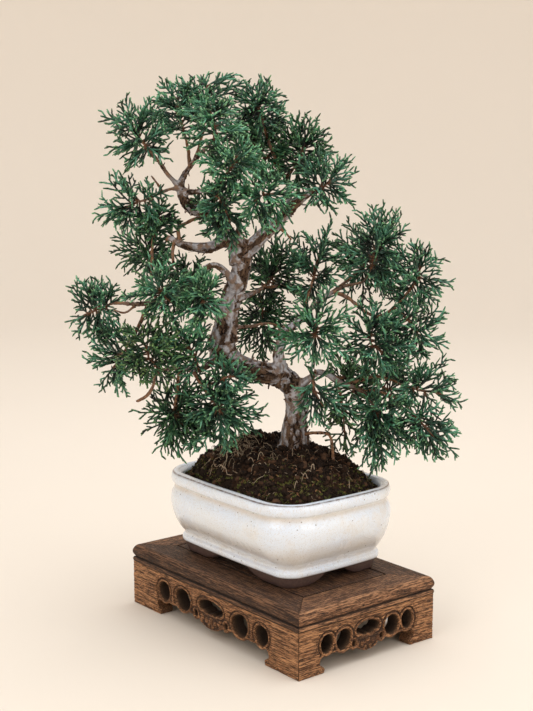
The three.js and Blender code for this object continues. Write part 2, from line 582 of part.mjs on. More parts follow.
const LEADERS = 6; // to a spray
const TIPS = 12; // to a spray
const MOST_TIPS = 4; // to a leader
const FACE_SWING = 0.45; // radians a cord may lean from the middle of a face

function seededRandom(seed) {
  let state = seed;
  return () => {
    state = (state * 1103515245 + 12345) % 2147483648;
    return state / 2147483648;
  };
}

// Even directions over a ball, from pole to pole along a golden spiral.
function evenDirection(i, count, turn) {
  const z = 1 - (2 * (i + 0.5)) / count;
  const angle = i * Math.PI * (3 - Math.sqrt(5)) + turn;
  const flat = Math.sqrt(1 - z * z);
  return new THREE.Vector3(flat * Math.cos(angle), flat * Math.sin(angle), z);
}

// Shortest distance between two segments.
function segmentDistance(p, q) {
  const u = p.end.clone().sub(p.start);
  const v = q.end.clone().sub(q.start);
  const w = p.start.clone().sub(q.start);
  const a = u.dot(u);
  const b = u.dot(v);
  const c = v.dot(v);
  const d = u.dot(w);
  const e = v.dot(w);
  const clamp = THREE.MathUtils.clamp;
  const bottom = a * c - b * b;
  let s = bottom > 1e-9 ? clamp((b * e - c * d) / bottom, 0, 1) : 0;
  const t = clamp((b * s + e) / c, 0, 1);
  s = clamp((b * t - d) / a, 0, 1);
  return w.clone().addScaledVector(u, s).addScaledVector(v, -t).length();
}

function stick(start, end, thick, thin, spray) {
  return { start, end, thick, thin, spray };
}

function stickGeometry({ start, end, thick, thin }, sides) {
  const points = [[...start.toArray(), thick], [...end.toArray(), thin]];
  return skin(limbRings(points, sides, 1000, 0).rings);
}

function woodSticks() {
  const sticks = [];
  for (const points of [TRUNK, ...Object.values(LIMBS)]) {
    const { centres, radii } = limbRings(points, 3, 6, 0);
    for (let i = 0; i + 1 < centres.length; i += 1) {
      sticks.push(stick(centres[i], centres[i + 1], Math.max(radii[i], radii[i + 1]), 0, 'wood'));
    }
  }
  return sticks;
}

// Whether a stick would touch wood or another spray, come near a cord of its own spray, or reach
// the soil or the pot's rim.
function blocked(candidate, placed, parent) {
  if (candidate.end.z < 166 && candidate.end.z < groundBelow(candidate.end) + 4) return true;
  const outer = stick(candidate.start.clone().lerp(candidate.end, 0.3), candidate.end);
  return placed.some((other) => {
    if (other === parent) return false;
    const same = other.spray === candidate.spray;
    const tested = same ? outer : candidate;
    const room = candidate.thick + other.thick + (same ? 0.2 : CLEAR);
    return segmentDistance(tested, other) < room;
  });
}

// Height of the soil or the rim below a point of the tree's frame.
function groundBelow(point) {
  const flat = new THREE.Vector2(point.x, point.y).rotateAround(new THREE.Vector2(), TREE_TURN);
  const x = flat.x - POT.centre[0];
  const y = flat.y - POT.centre[1];
  const inside = Math.abs(x) < POT.rimX + 4 && Math.abs(y) < POT.rimY + 4;
  return inside ? Math.max(132, soilHeight(x, y)) : 0;
}

// Turns a direction round an axis until it leaves the axis close to the middle of one of the
// three faces of a stick laid along it, so that a cord never splits an edge of what it grows from.
function throughFace(direction, leader) {
  const axis = leader.end.clone().sub(leader.start).normalize();
  const across = firstAcross(axis);
  const up = axis.clone().cross(across);
  const angle = Math.atan2(direction.dot(up), direction.dot(across));
  const third = (2 * Math.PI) / 3;
  const face = Math.floor(angle / third) * third + third / 2;
  const kept = THREE.MathUtils.clamp(angle - face, -FACE_SWING, FACE_SWING);
  return direction.clone().applyAxisAngle(axis, face + kept - angle);
}

// One spray's sticks: a slim core that carries on from the twig, leaders from the core in even
// directions, and cords from the leaders to tips spread evenly over the spray's outline.
function sprayCords([name, twig, middle, size], placed, seed) {
  const random = seededRandom(seed);
  const jitter = (amount) => (random() - 0.5) * 2 * amount;
  const centre = new THREE.Vector3(...middle);
  const half = new THREE.Vector3(...size);
  const points = LIMBS[twig];
  const twigEnd = new THREE.Vector3(...points.at(-1));
  const along = twigEnd.clone().sub(new THREE.Vector3(...points.at(-2))).normalize();
  const coreStart = twigEnd.clone().addScaledVector(along, GAP + 0.05);
  const onward = along.clone().multiply(half).multiplyScalar(0.42);
  const core = stick(coreStart, centre.clone().add(onward), 1.7, 1.4, name);
  placed.push(core);
  const made = [core];
  const keep = (candidate, parent) => {
    if (blocked(candidate, placed, parent)) return false;
    placed.push(candidate);
    made.push(candidate);
    return true;
  };
  const leaders = [];
  for (let i = 0; i < LEADERS; i += 1) {
    for (let attempt = 0; attempt < 14; attempt += 1) {
      const direction = evenDirection(i, LEADERS, seed + jitter(0.25 + attempt * 0.1));
      const forward = 0.5 + 0.35 * direction.dot(along) + jitter(0.1);
      const from = core.start.clone().lerp(core.end, THREE.MathUtils.clamp(forward, 0.15, 0.9));
      const to = centre.clone().add(direction.multiply(half).multiplyScalar(0.62 + jitter(0.06)));
      const leader = stick(from, to, 0.6, 1.15, name);
      if (from.distanceTo(to) > 7 && keep(leader, core)) {
        leaders.push({ ...leader, whole: leader, tips: [] });
        break;
      }
    }
  }
  for (let i = 0; i < TIPS; i += 1) {
    const tip = centre.clone().add(evenDirection(i, TIPS, seed * 2).multiply(half));
    const byReach = [...leaders].sort((p, q) => p.end.distanceTo(tip) - q.end.distanceTo(tip));
    const owner = byReach.find((leader) => leader.tips.length < MOST_TIPS);
    if (owner) owner.tips.push(tip);
  }
  for (const leader of leaders) {
    leader.tips.forEach((tip, k) => {
      const share = 0.95 - (k * 0.6) / Math.max(2, leader.tips.length - 1);
      for (let attempt = 0; attempt < 12; attempt += 1) {
        const from = leader.start.clone().lerp(leader.end, share - 0.02 * attempt);
        const aim = tip.clone().sub(from);
        const reach = Math.min(aim.length() * (1 + jitter(0.04)), CORD_LENGTH);
        aim.normalize().add(new THREE.Vector3(jitter(1), jitter(1), jitter(1))
          .multiplyScalar(0.1 * attempt)).normalize();
        const end = from.clone().addScaledVector(throughFace(aim, leader), reach);
        if (reach > 6 && keep(stick(from, end, 0.4, CORD, name), leader.whole)) break;
      }
    });
  }
  return made;
}

function addFoliage() {
  const placed = woodSticks();
  SPRAYS.forEach((spray, i) => {
    const sticks = sprayCords(spray, placed, 11 + i * 7);
    const parts = sticks.map((each, k) => stickGeometry(each, k === 0 ? 4 : 3));
    addPiece(tree, `foliage_${spray[0]}`, fuse(parts), spray[4], 0.7);
  });
}

addStand();
addPot();
addScreens();
addSoil();
addWood();
addFoliage();

// ---- the origin: below the middle of the whole object, on the surface it stands on ----

root.updateMatrixWorld(true);
const middle = new THREE.Box3().setFromObject(root, true).getCenter(new THREE.Vector3());
root.position.set(-middle.x, -middle.y, 0);
root.updateMatrixWorld(true);

export default root;
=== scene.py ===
# %% [markdown]
# # A juniper bonsai in a glazed pot, on a carved stand
# A small juniper with a bent double trunk grows in a cream glazed pot. The pot has four feet of
# bare clay and stands on a low stand of dark, open-grained wood with pierced carving.
# The imported model fixes where everything is. Each cell below makes one kind of piece with more
# detail than the imported solids have, in the same place, and gives it a finish.
# The first cell loads the imported model and keeps its box, which later keeps the shoots inside it.

# %% Load the imported model
import math

import bpy
import numpy as np
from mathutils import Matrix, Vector, geometry, kdtree


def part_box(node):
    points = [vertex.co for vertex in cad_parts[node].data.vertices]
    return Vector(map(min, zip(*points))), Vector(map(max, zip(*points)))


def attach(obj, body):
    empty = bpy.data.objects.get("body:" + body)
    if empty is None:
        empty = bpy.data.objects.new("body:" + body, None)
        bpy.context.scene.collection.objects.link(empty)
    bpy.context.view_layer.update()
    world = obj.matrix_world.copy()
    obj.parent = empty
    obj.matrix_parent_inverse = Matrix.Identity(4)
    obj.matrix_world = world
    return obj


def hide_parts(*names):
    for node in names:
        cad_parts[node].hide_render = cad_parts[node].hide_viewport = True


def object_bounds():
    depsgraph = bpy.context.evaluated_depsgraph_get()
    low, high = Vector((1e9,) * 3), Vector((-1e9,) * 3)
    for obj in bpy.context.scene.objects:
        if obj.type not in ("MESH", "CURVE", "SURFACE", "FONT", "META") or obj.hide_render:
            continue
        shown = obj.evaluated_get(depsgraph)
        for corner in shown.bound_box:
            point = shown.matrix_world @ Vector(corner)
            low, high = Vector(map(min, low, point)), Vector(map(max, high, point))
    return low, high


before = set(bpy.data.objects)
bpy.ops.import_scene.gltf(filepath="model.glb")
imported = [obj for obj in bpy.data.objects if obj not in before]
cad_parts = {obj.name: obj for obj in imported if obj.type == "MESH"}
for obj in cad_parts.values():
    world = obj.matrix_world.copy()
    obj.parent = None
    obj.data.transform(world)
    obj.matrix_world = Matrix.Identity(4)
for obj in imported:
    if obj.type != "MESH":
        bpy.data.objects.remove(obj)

cad_low, cad_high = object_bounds()
print("packed box, mm:", [round(v * 1000) for v in cad_high - cad_low])

# %% [markdown]
# ## Places and units
# Blender works in metres, and this object is thought of in millimetres, so MM turns one into the
# other. The stand's panel lies in the middle of the stand, so its box gives the stand's centre.
# The tree has a frame of its own, [a, d, z]: a runs from left to right across its front, d from
# front to back. That frame is turned about the vertical, because the stand shows a corner to
# whoever looks at the tree's front.

# %% Places and units
MM = 0.001
TREE_TURN = math.radians(51.3)
panel_low, panel_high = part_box("stand_panel")
pot_low, pot_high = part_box("pot")
STAND_CENTRE = np.array((panel_low + panel_high) / 2)[:2] / MM
POT_CENTRE = np.array((pot_low + pot_high) / 2)[:2] / MM
STAND_TOP = panel_high.z / MM


def from_tree(points):
    """Points of the tree's frame, in mm, as points of the model, in metres."""
    a, d, z = np.asarray(points, float)[:, :3].T
    across, deep = math.cos(TREE_TURN), math.sin(TREE_TURN)
    x = STAND_CENTRE[0] + a * across - d * deep
    y = STAND_CENTRE[1] + a * deep + d * across
    return np.stack([x, y, z], 1) * MM


def to_pot(points):
    """Points of the tree's frame as points round the pot's centre, all in mm."""
    return from_tree(points) / MM - [*POT_CENTRE, 0]


print("stand centre", STAND_CENTRE.round(1), "pot centre", POT_CENTRE.round(1), "top", round(STAND_TOP, 1))

# %% [markdown]
# ## Making meshes
# Every piece is a list of points and a list of faces. Most of them are stacks of rings: a pot is a
# stack of rounded rectangles, and a branch is a stack of small circles along a line. One helper
# joins neighbouring rings with four-sided faces, and another hands the result to Blender.
# Numbers that belong to single points, such as how near a point is to a shoot's tip, are stored
# beside them as attributes, so that a finish can read them later.

# %% Mesh helpers
def columns(*parts):
    """Rows of numbers side by side, as points. A single number is repeated in each point."""
    count = max(len(part) for part in parts if np.ndim(part))
    return np.column_stack([part if np.ndim(part) else np.full(count, part) for part in parts])


def circle(count):
    """The angles of points that lie evenly round a circle."""
    return np.arange(count) / count * 2 * math.pi


def ring_faces(rows, count):
    """Four-sided faces between rows of rings that have count points each."""
    i = np.arange(count)
    j = (i + 1) % count
    low = (np.arange(rows - 1) * count)[:, None]
    return np.stack([low + i, low + j, low + count + j, low + count + i], -1).reshape(-1, 4)


def stack_faces(rows, count):
    """Faces of a closed stack: its sides, and one flat face at each end."""
    first = list(range(count))[::-1]
    last = list(range((rows - 1) * count, rows * count))
    return ring_faces(rows, count).tolist() + [first, last]


def make_piece(name, points, faces, sharp=None, **point_values):
    """A mesh object from points in metres. Edges bent more than sharp degrees stay crisp."""
    mesh = bpy.data.meshes.new(name)
    mesh.from_pydata(np.asarray(points, float).tolist(), [], [list(face) for face in faces])
    mesh.shade_smooth()
    if sharp is not None:
        mesh.set_sharp_from_angle(angle=math.radians(sharp))
    for key, values in point_values.items():
        layer = mesh.attributes.new(key, "FLOAT", "POINT")
        layer.data.foreach_set("value", np.asarray(values, np.float32))
    piece = bpy.data.objects.new(name, mesh)
    bpy.context.scene.collection.objects.link(piece)
    return piece


def settle(piece, finish, slot, *nodes):
    """Gives a piece its finish, ties it to the body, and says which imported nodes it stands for."""
    piece.data.materials.append(finish)
    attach(piece, "root")
    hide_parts(*nodes)
    print(f"{piece.name}: {len(piece.data.vertices)} points, {len(piece.data.polygons)} faces")


def finder(places):
    """A tree that finds the nearest of many places quickly."""
    tree = kdtree.KDTree(len(places))
    for k, place in enumerate(places):
        tree.insert(place[:3], k)
    tree.balance()
    return tree


class Heap:
    """Collects many small meshes, with their point values, for one piece."""

    def __init__(self):
        self.points, self.faces, self.values, self.count = [], [], {}, 0

    def add(self, points, faces, **values):
        """Adds a mesh. A value is one number for all its points, or one for each."""
        self.points.append(points)
        self.faces += [[self.count + i for i in face] for face in faces]
        for key, value in values.items():
            filled = np.broadcast_to(np.asarray(value, float), len(points))
            self.values.setdefault(key, []).append(filled)
        self.count += len(points)

    def piece(self, name, **options):
        values = {key: np.concatenate(parts) for key, parts in self.values.items()}
        return make_piece(name, np.concatenate(self.points), self.faces, **options, **values)

# %% [markdown]
# ### Lines and tubes
# Branches, roots and twigs are drawn as a few points each. A Catmull-Rom curve runs through all of
# them, and its centripetal kind makes no loops where two points lie close together. frames carries
# one sideways direction along the line, so that a tube's rings don't twist against each other.

# %% Lines and tubes
def smooth_line(points, spacing):
    """Samples of a centripetal Catmull-Rom curve through points, spacing mm apart."""
    p = np.asarray(points, float)
    p = np.vstack([2 * p[0] - p[1], p, 2 * p[-1] - p[-2]])
    steps = np.sqrt(np.linalg.norm(np.diff(p[:, :3], axis=0), axis=1))
    knots = np.concatenate([[0], np.cumsum(steps)])
    samples = []
    for k in range(1, len(p) - 2):
        count = max(1, round(steps[k] ** 2 / spacing))
        t = (knots[k] + (knots[k + 1] - knots[k]) * np.arange(count) / count)[:, None]
        t0, t1, t2, t3 = knots[k - 1:k + 3]
        a1 = (t1 - t) / (t1 - t0) * p[k - 1] + (t - t0) / (t1 - t0) * p[k]
        a2 = (t2 - t) / (t2 - t1) * p[k] + (t - t1) / (t2 - t1) * p[k + 1]
        a3 = (t3 - t) / (t3 - t2) * p[k + 1] + (t - t2) / (t3 - t2) * p[k + 2]
        b1 = (t2 - t) / (t2 - t0) * a1 + (t - t0) / (t2 - t0) * a2
        b2 = (t3 - t) / (t3 - t1) * a2 + (t - t1) / (t3 - t1) * a3
        samples.append((t2 - t) / (t2 - t1) * b1 + (t - t1) / (t2 - t1) * b2)
    return np.vstack([*samples, p[-2:-1]])


def frames(line):
    """Along, across and up at each sample of a line, turned as little as can be."""
    along = unit(np.gradient(line[:, :3], axis=0))
    across = np.empty_like(along)
    side = np.array([0.31, 0.95, 0.07])
    for k, direction in enumerate(along):
        side = unit(side - direction * (side @ direction))
        across[k] = side
    return along, across, np.cross(along, across)


def tube(line, sides):
    """Rings of points round a line of [a, d, z, radius]."""
    _, across, up = frames(line)
    angle = circle(sides)
    ring = np.cos(angle)[:, None] * across[:, None] + np.sin(angle)[:, None] * up[:, None]
    return (line[:, None, :3] + line[:, None, 3:4] * ring).reshape(-1, 3)


corner_line = smooth_line([(0, 0, 0, 1), (10, 0, 0, 1), (10, 0, 10, 1)], 1)
print("a line of 20 mm round one corner has", len(corner_line), "samples")

# %% [markdown]
# ## Random, but always alike
# Nature isn't regular, yet the scene has to come out the same each time. soft_noise gives smooth
# hills and hollows between -1 and 1 over space, from a fixed rule, and every other random draw
# comes from a generator with a seed of its own.

# %% Noise
def soft_noise(points, seed=0):
    """Smooth values from -1 to 1 over points, from fixed values on a unit lattice."""
    points = np.asarray(points, float)
    cell = np.floor(points).astype(np.int64)
    part = points - cell
    part = part * part * (3 - 2 * part)
    total = np.zeros(len(points))
    for corner in np.ndindex(2, 2, 2):
        at = cell + corner
        mixed = at[:, 0] * 374761393 + at[:, 1] * 668265263 + at[:, 2] * 974634777 + seed * 144269504
        mixed = (mixed ^ (mixed >> 13)) * 1274126177
        value = ((mixed ^ (mixed >> 16)) & 0xFFFF) / 32767.5 - 1
        weight = np.where(corner, part, 1 - part).prod(1)
        total += value * weight
    return total


def ease(low, high, values):
    """0 below low, 1 above high, and a smooth step in between."""
    t = np.clip((np.asarray(values, float) - low) / (high - low), 0, 1)
    return t * t * (3 - 2 * t)


def flat_noise(x, y, seed):
    """soft_noise over places in a plane."""
    return soft_noise(columns(x, y, 0), seed)


def unit(vectors):
    """Vectors of the same direction, and of length 1."""
    vectors = np.asarray(vectors, float)
    return vectors / np.maximum(np.linalg.norm(vectors, axis=-1, keepdims=True), 1e-12)


print("noise at three places:", soft_noise([(0.2, 0, 0), (0.7, 0, 0), (1.2, 0, 0)]).round(2))

# %% [markdown]
# ## Finishes
# A finish is a node tree that ends in one shader. The small helper below adds a node, sets its
# plain values and links what comes from another node, which keeps each finish short to read.
# Patterns are laid out in the object's own coordinates, in metres, so a grain of half a
# millimetre is a noise of about two thousand waves to the metre.

# %% Finish helpers
class Finish:
    """A material whose nodes end in one shader."""

    def __init__(self, name, **shader_values):
        self.material = bpy.data.materials.new(name)
        self.material.use_nodes = True
        self.tree = self.material.node_tree
        self.shader = self.tree.nodes["Principled BSDF"]
        for key, value in shader_values.items():
            self.shader.inputs[key.replace("_", " ")].default_value = value
        self.place = self.add("ShaderNodeTexCoord").outputs["Object"]

    def add(self, kind, inputs=None, **settings):
        """A new node, with its inputs linked to other nodes' outputs or set to plain values."""
        made = self.tree.nodes.new(kind)
        for key, value in settings.items():
            setattr(made, key, value)
        for key, value in (inputs or {}).items():
            if isinstance(value, bpy.types.NodeSocket):
                self.tree.links.new(value, made.inputs[key])
            else:
                made.inputs[key].default_value = value
        return made

    def noise(self, scale, detail=3, stretch=(1, 1, 1), rough=0.55, shift=(0, 0, 0)):
        mapping = self.add("ShaderNodeMapping", {"Vector": self.place, "Scale": stretch, "Location": shift})
        wanted = {"Vector": mapping.outputs[0], "Scale": scale, "Detail": detail, "Roughness": rough}
        return self.add("ShaderNodeTexNoise", wanted).outputs[0]

    def cells(self, scale):
        wanted = {"Vector": self.place, "Scale": scale}
        return self.add("ShaderNodeTexVoronoi", wanted).outputs["Distance"]

    def point_value(self, name):
        return self.add("ShaderNodeAttribute", attribute_name=name).outputs["Fac"]

    def math(self, operation, first, second=0.0):
        return self.add("ShaderNodeMath", {0: first, 1: second}, operation=operation).outputs[0]

    def step(self, value, low, high):
        """A smooth step of value from 0 at low to 1 at high."""
        wanted = {"Value": value, "From Min": low, "From Max": high}
        made = self.add("ShaderNodeMapRange", wanted, interpolation_type="SMOOTHSTEP")
        return made.outputs[0]

    def between(self, value, low, high, to_low, to_high):
        wanted = {"Value": value, "From Min": low, "From Max": high, "To Min": to_low, "To Max": to_high}
        return self.add("ShaderNodeMapRange", wanted).outputs[0]

    def mix(self, amount, first, second):
        wanted = {0: amount, 6: first, 7: second}
        return self.add("ShaderNodeMix", wanted, data_type="RGBA").outputs[2]

    def share(self, value, amount):
        """value times a plain number."""
        return self.math("MULTIPLY", value, amount)

    def wear(self, colour, roughness=None, height=None, depth=0.0002, strength=1.0):
        """Links the finished colour, roughness and bump height to the shader."""
        self.tree.links.new(colour, self.shader.inputs["Base Color"])
        if roughness is not None:
            self.tree.links.new(roughness, self.shader.inputs["Roughness"])
        if height is not None:
            wanted = {"Height": height, "Distance": depth, "Strength": strength}
            bump = self.add("ShaderNodeBump", wanted)
            self.tree.links.new(bump.outputs[0], self.shader.inputs["Normal"])
        return self.material


def srgb(red, green, blue):
    """A colour as seen, 0 to 255, as the linear light that shaders use."""
    seen = [value / 255 for value in (red, green, blue)]
    return (*[v / 12.92 if v <= 0.04045 else ((v + 0.055) / 1.055) ** 2.4 for v in seen], 1)


print("mid grey, 128 of 255, as light:", round(srgb(128, 128, 128)[0], 3))

# %% [markdown]
# ## Camera, floor and light
# The camera stands where the reference was seen from: a little above the pot, looking at the
# stand's corner, from about one and a quarter metres. It was fitted to the stand's corners, so its
# place is given from the stand's centre. Its lens follows from the focal length in pixels of an
# image 711 pixels high.
# The floor is a pale sweep that curves up all round, like a studio's, so that no edge shows from
# any side. Large lamps give soft shadows, and the sky fills them.

# %% Camera, floor and light
CAMERA_FROM_STAND = np.array([913.4, -745.4, 442.7])
CAMERA_VIEW = Vector((-0.76898, 0.61638, -0.16957))
IMAGE_HEIGHT = 711
FOCAL_PIXELS = 1379.3
SENSOR = 36
SWEEP_FLOOR = 1.9
SWEEP_CURVE = 1.3
SWEEP_WALL = 2.6

camera_data = bpy.data.cameras.new("camera")
camera_data.sensor_width = SENSOR
camera_data.lens = FOCAL_PIXELS / IMAGE_HEIGHT * SENSOR
camera = bpy.data.objects.new("camera", camera_data)
bpy.context.scene.collection.objects.link(camera)
camera.location = (CAMERA_FROM_STAND + [*STAND_CENTRE, 0]) * MM
camera.rotation_euler = CAMERA_VIEW.to_track_quat("-Z", "Y").to_euler()
bpy.context.scene.camera = camera


def sweep_finish():
    finish = Finish("studio_paper", Roughness=0.95)
    tone = finish.noise(1.2, 2)
    return finish.wear(finish.mix(tone, srgb(236, 225, 211), srgb(239, 228, 214)))


def make_sweep():
    """A round floor that curves up into a wall."""
    turns = np.linspace(0, math.pi / 2, 13)
    profile = [(0.02, 0), (SWEEP_FLOOR, 0)]
    profile += [(SWEEP_FLOOR + SWEEP_CURVE * math.sin(t), SWEEP_CURVE * (1 - math.cos(t)))
                for t in turns[1:]]
    profile.append((SWEEP_FLOOR + SWEEP_CURVE, SWEEP_WALL))
    count = 96
    angle = circle(count)
    rings = [columns(r * np.cos(angle), r * np.sin(angle), z) for r, z in profile]
    faces = ring_faces(len(profile), count)[:, ::-1].tolist() + [list(range(count))]
    sweep = make_piece("studio_sweep", np.concatenate(rings), faces)
    sweep.data.materials.append(sweep_finish())


def add_lamp(name, place, size, power):
    data = bpy.data.lights.new(name, "AREA")
    data.size = size
    data.energy = power
    lamp = bpy.data.objects.new(name, data)
    bpy.context.scene.collection.objects.link(lamp)
    lamp.location = place
    aim = Vector((0, 0, 0.22)) - Vector(place)
    lamp.rotation_euler = aim.to_track_quat("-Z", "Y").to_euler()


make_sweep()
add_lamp("overhead_softbox", (0.15, 0.35, 1.75), 1.4, 11)
add_lamp("front_softbox", (0.4, -1.7, 1.15), 1.1, 6.8)
add_lamp("side_softbox", (1.75, 0.35, 0.8), 1.1, 5.8)
world = bpy.data.worlds.new("studio_air")
bpy.context.scene.world = world
world.use_nodes = True
sky = world.node_tree.nodes["Background"].inputs
sky["Color"].default_value = srgb(250, 252, 255)
sky["Strength"].default_value = 1.0
bpy.context.scene.view_settings.view_transform = "Standard"
print("lens, mm:", round(camera_data.lens, 1))

# %% [markdown]
# ## Wood of the stand
# The stand is coarse-grained hardwood, stained dark and rubbed down. The stain sits in the open
# pores and in the grooves, and the ridges and arrises are lighter where the stain has worn off.
# Grain runs along each board, so a finish is made once for boards along X and once for boards along Y. It is
# several noises that are stretched a long way in that direction: broad streaks, the wavy growth lines, and
# short fine pores. The bump comes from the same lines as the colour. The frame's rails along Y also get
# lighter colours than those along X: painted light.
# Three numbers come with each mesh. "worn" is for arrises. The second is for grooves that hold the stain, and
# it also paints shade into the openings, the gap round the panel and the rails' hidden faces. The third is
# for the insides of openings, which turn greyer and darker deeper in, partly with dust and partly as painted
# shade.

# %% Wood finishes
def wood_finish(name, along, relief, dark, body, light, pore):
    """Open-grained wood with its grain along X or Y."""
    finish = Finish(name, Specular_IOR_Level=0.3)
    long = (0.05, 1, 1) if along == "X" else (1, 0.05, 1)
    short = (0.1, 1, 1) if along == "X" else (1, 0.1, 1)
    broad = finish.noise(34, 3, long, shift=(0.3, 0.7, 0.1))
    lines = finish.noise(980, 3, long, 0.6)
    fine = finish.noise(1700, 3, short, 0.6)
    grain = finish.math("ADD", finish.share(lines, 0.55), finish.share(fine, 0.45))
    colour = finish.mix(finish.step(grain, 0.45, 0.53), dark, body)
    colour = finish.mix(finish.step(grain, 0.52, 0.6), colour, light)
    colour = finish.mix(finish.step(broad, 0.45, 0.75), colour, finish.mix(0.35, colour, dark))
    open_pore = finish.step(finish.noise(2300, 2, short, 0.5, shift=(1, 2, 3)), 0.45, 0.38)
    colour = finish.mix(open_pore, colour, pore)
    worn = finish.math("MULTIPLY", finish.point_value("worn"), finish.step(grain, 0.42, 0.58))
    colour = finish.mix(worn, colour, light)
    # Dust and painted shade in the openings, then dark stain with painted shade in grooves, gaps and hidden
    # faces.
    dust_and_shade_colour = finish.mix(finish.noise(700, 4), srgb(42, 32, 24), srgb(104, 84, 64))
    colour = finish.mix(finish.point_value("hollow"), colour, dust_and_shade_colour)
    colour = finish.mix(finish.share(finish.point_value("sunk"), 0.9), colour, pore)
    rough = finish.between(grain, 0.3, 0.7, 0.75, 0.45)
    height = finish.math("SUBTRACT", grain, finish.share(open_pore, 0.35))
    return finish.wear(colour, rough, height, relief)


APRON_COLOURS = [(80, 51, 32), (148, 101, 66), (196, 144, 99), (40, 25, 16)]
WOODS = {  # grain, its relief in metres, and the dark, body, light and pore colours
    "frame_wood_X": ("X", 0.0005, [(52, 34, 23), (90, 61, 42), (132, 94, 66), (26, 17, 12)]),
    # The short rails along Y are lighter than the long ones: painted light.
    "frame_wood_Y": ("Y", 0.0005, [(72, 47, 31), (128, 88, 60), (184, 136, 98), (36, 23, 15)]),
    "apron_wood_X": ("X", 0.0009, APRON_COLOURS),
    "apron_wood_Y": ("Y", 0.0009, APRON_COLOURS),
}
WOOD_FINISHES = {name: wood_finish(name, along, relief, *[srgb(*colour) for colour in colours])
                 for name, (along, relief, colours) in WOODS.items()}
print("wood finishes:", *WOOD_FINISHES)

# %% [markdown]
# ## Panel and frame rails
# A flat panel floats in a frame of four rails. Its tongue sits in their groove, so the wood can
# swell and shrink, and a thin dark gap shows all round it. The rails meet in mitres.
# A rail is one section drawn along a line. The section has the groove inside, and a rounded edge
# above a quirk and a small bead outside. Each point of the section moves out by its own distance,
# which cuts the mitres at the same time. The section is worn a little unevenly along the rail.

# %% Panel and rails
LONG_HALF, SHORT_HALF = 120, 77
RAIL_WIDTH = 30
RAIL_LOW = 40
FIT = 0.3
PANEL_PLAY = 1.4


def bend(first, pull, last, count):
    """Points after first, up to last, along a curve that pull draws to itself."""
    t = (np.arange(count) + 1)[:, None] / count
    first, pull, last = np.array(first), np.array(pull), np.array(last)
    return ((1 - t) ** 2 * first + 2 * t * (1 - t) * pull + t ** 2 * last).tolist()


def rail_section():
    """The rail's section as [out, z], against the clock, seen with the outside to the right."""
    section = [[0, RAIL_LOW], [14, RAIL_LOW], [28.2, RAIL_LOW]]
    section += bend([28.2, 40], [29.9, 42], [28.4, 44.1], 6) + [[27.5, 44.5], [27.4, 44.9]]
    section += bend([27.4, 44.9], [30.5, 48.6], [28.6, 52], 8) + bend([28.6, 52], [27.6, 55.2], [24.5, 56], 6)
    section += [[out, STAND_TOP] for out in np.linspace(23, 0.6, 12)]
    section += [[0.15, 55.85], [0, 55.4], [0, 50.5], [5, 50.5], [5, 45.5], [0, 45.5]]
    return np.array(section)


def turned(points, quarter):
    """Points of a side, turned by quarters round the stand's centre, in metres."""
    angle = quarter * math.pi / 2
    x = points[:, 0] * math.cos(angle) - points[:, 1] * math.sin(angle) + STAND_CENTRE[0]
    y = points[:, 0] * math.sin(angle) + points[:, 1] * math.cos(angle) + STAND_CENTRE[1]
    return columns(x, y, points[:, 2]) * MM


def make_rail(name, half_length, half_depth, quarter, seed):
    """A mitred rail, a little unevenly worn along its rounded edge."""
    section = rail_section()
    inner = half_depth - RAIL_WIDTH
    stations = np.linspace(-1, 1, 72)
    out, z = section[:, 0], section[:, 1]
    x = stations[:, None] * (half_length - RAIL_WIDTH + out - FIT)
    y = np.broadcast_to(-inner - out, x.shape)
    points = np.stack([x, y, np.broadcast_to(z, x.shape)], 2).reshape(-1, 3)
    outside = np.tile(ease(20, 27, out) * ease(44, 46, z), len(stations))
    streaks = 1 + soft_noise(points / [28, 1.1, 1.1], seed)
    points[:, 1] += 0.16 * outside * streaks
    top = np.tile((z > 55.9) * 1.0, len(stations))
    points[:, 2] -= 0.05 * top * streaks
    arris = np.exp(-((out - 27) / 2) ** 2) * ease(50, 53, z) + np.exp(-((z - 42) / 1.4) ** 2) * (out > 20)
    worn = np.tile(0.75 * arris, len(stations))
    faces = [face[::-1] for face in stack_faces(len(stations), len(section))]
    # Stain and painted shade: the inner face, the underside and the quirk groove are darkened.
    inside = np.tile((out < 0.3) | (z < 41) | ((out < 29) & (np.abs(z - 44.8) < 0.7)), len(stations))
    return make_piece(name, turned(points, quarter), faces, sharp=38, worn=worn,
                      hollow=np.zeros(len(points)), sunk=inside)


def make_panel():
    """The panel as a stack of rectangles, with its tongue all round and a soft upper arris."""
    x, y = LONG_HALF - RAIL_WIDTH, SHORT_HALF - RAIL_WIDTH
    levels = [(4, 45.8), (4, 50.2), (-PANEL_PLAY, 50.2), (-PANEL_PLAY, 55.5), (-PANEL_PLAY - 0.4, 56)]
    levels += [(-PANEL_PLAY - inset, 56) for inset in (3, 8, 16, 26, 38)]
    rings = []
    for out, z in levels:
        across = np.linspace(-1, 1, 60)[:-1]
        deep = np.linspace(-1, 1, 36)[:-1]
        ring = [(s, -1) for s in across] + [(1, s) for s in deep]
        ring += [(-s, 1) for s in across] + [(-1, -s) for s in deep]
        rings += [(sx * (x + out), sy * (y + out), z) for sx, sy in ring]
    count = len(rings) // len(levels)
    points = np.array(rings)
    zeros = np.zeros(len(points))
    # Stain and painted shade: the panel's edges in the gap below its top are darkened.
    return make_piece("floating_panel", turned(points, 0), stack_faces(len(levels), count), sharp=38,
                      worn=zeros, hollow=zeros, sunk=points[:, 2] < 55.7)


SIDES = [("front", 0, LONG_HALF, SHORT_HALF, "X"), ("right", 1, SHORT_HALF, LONG_HALF, "Y"),
         ("back", 2, LONG_HALF, SHORT_HALF, "X"), ("left", 3, SHORT_HALF, LONG_HALF, "Y")]

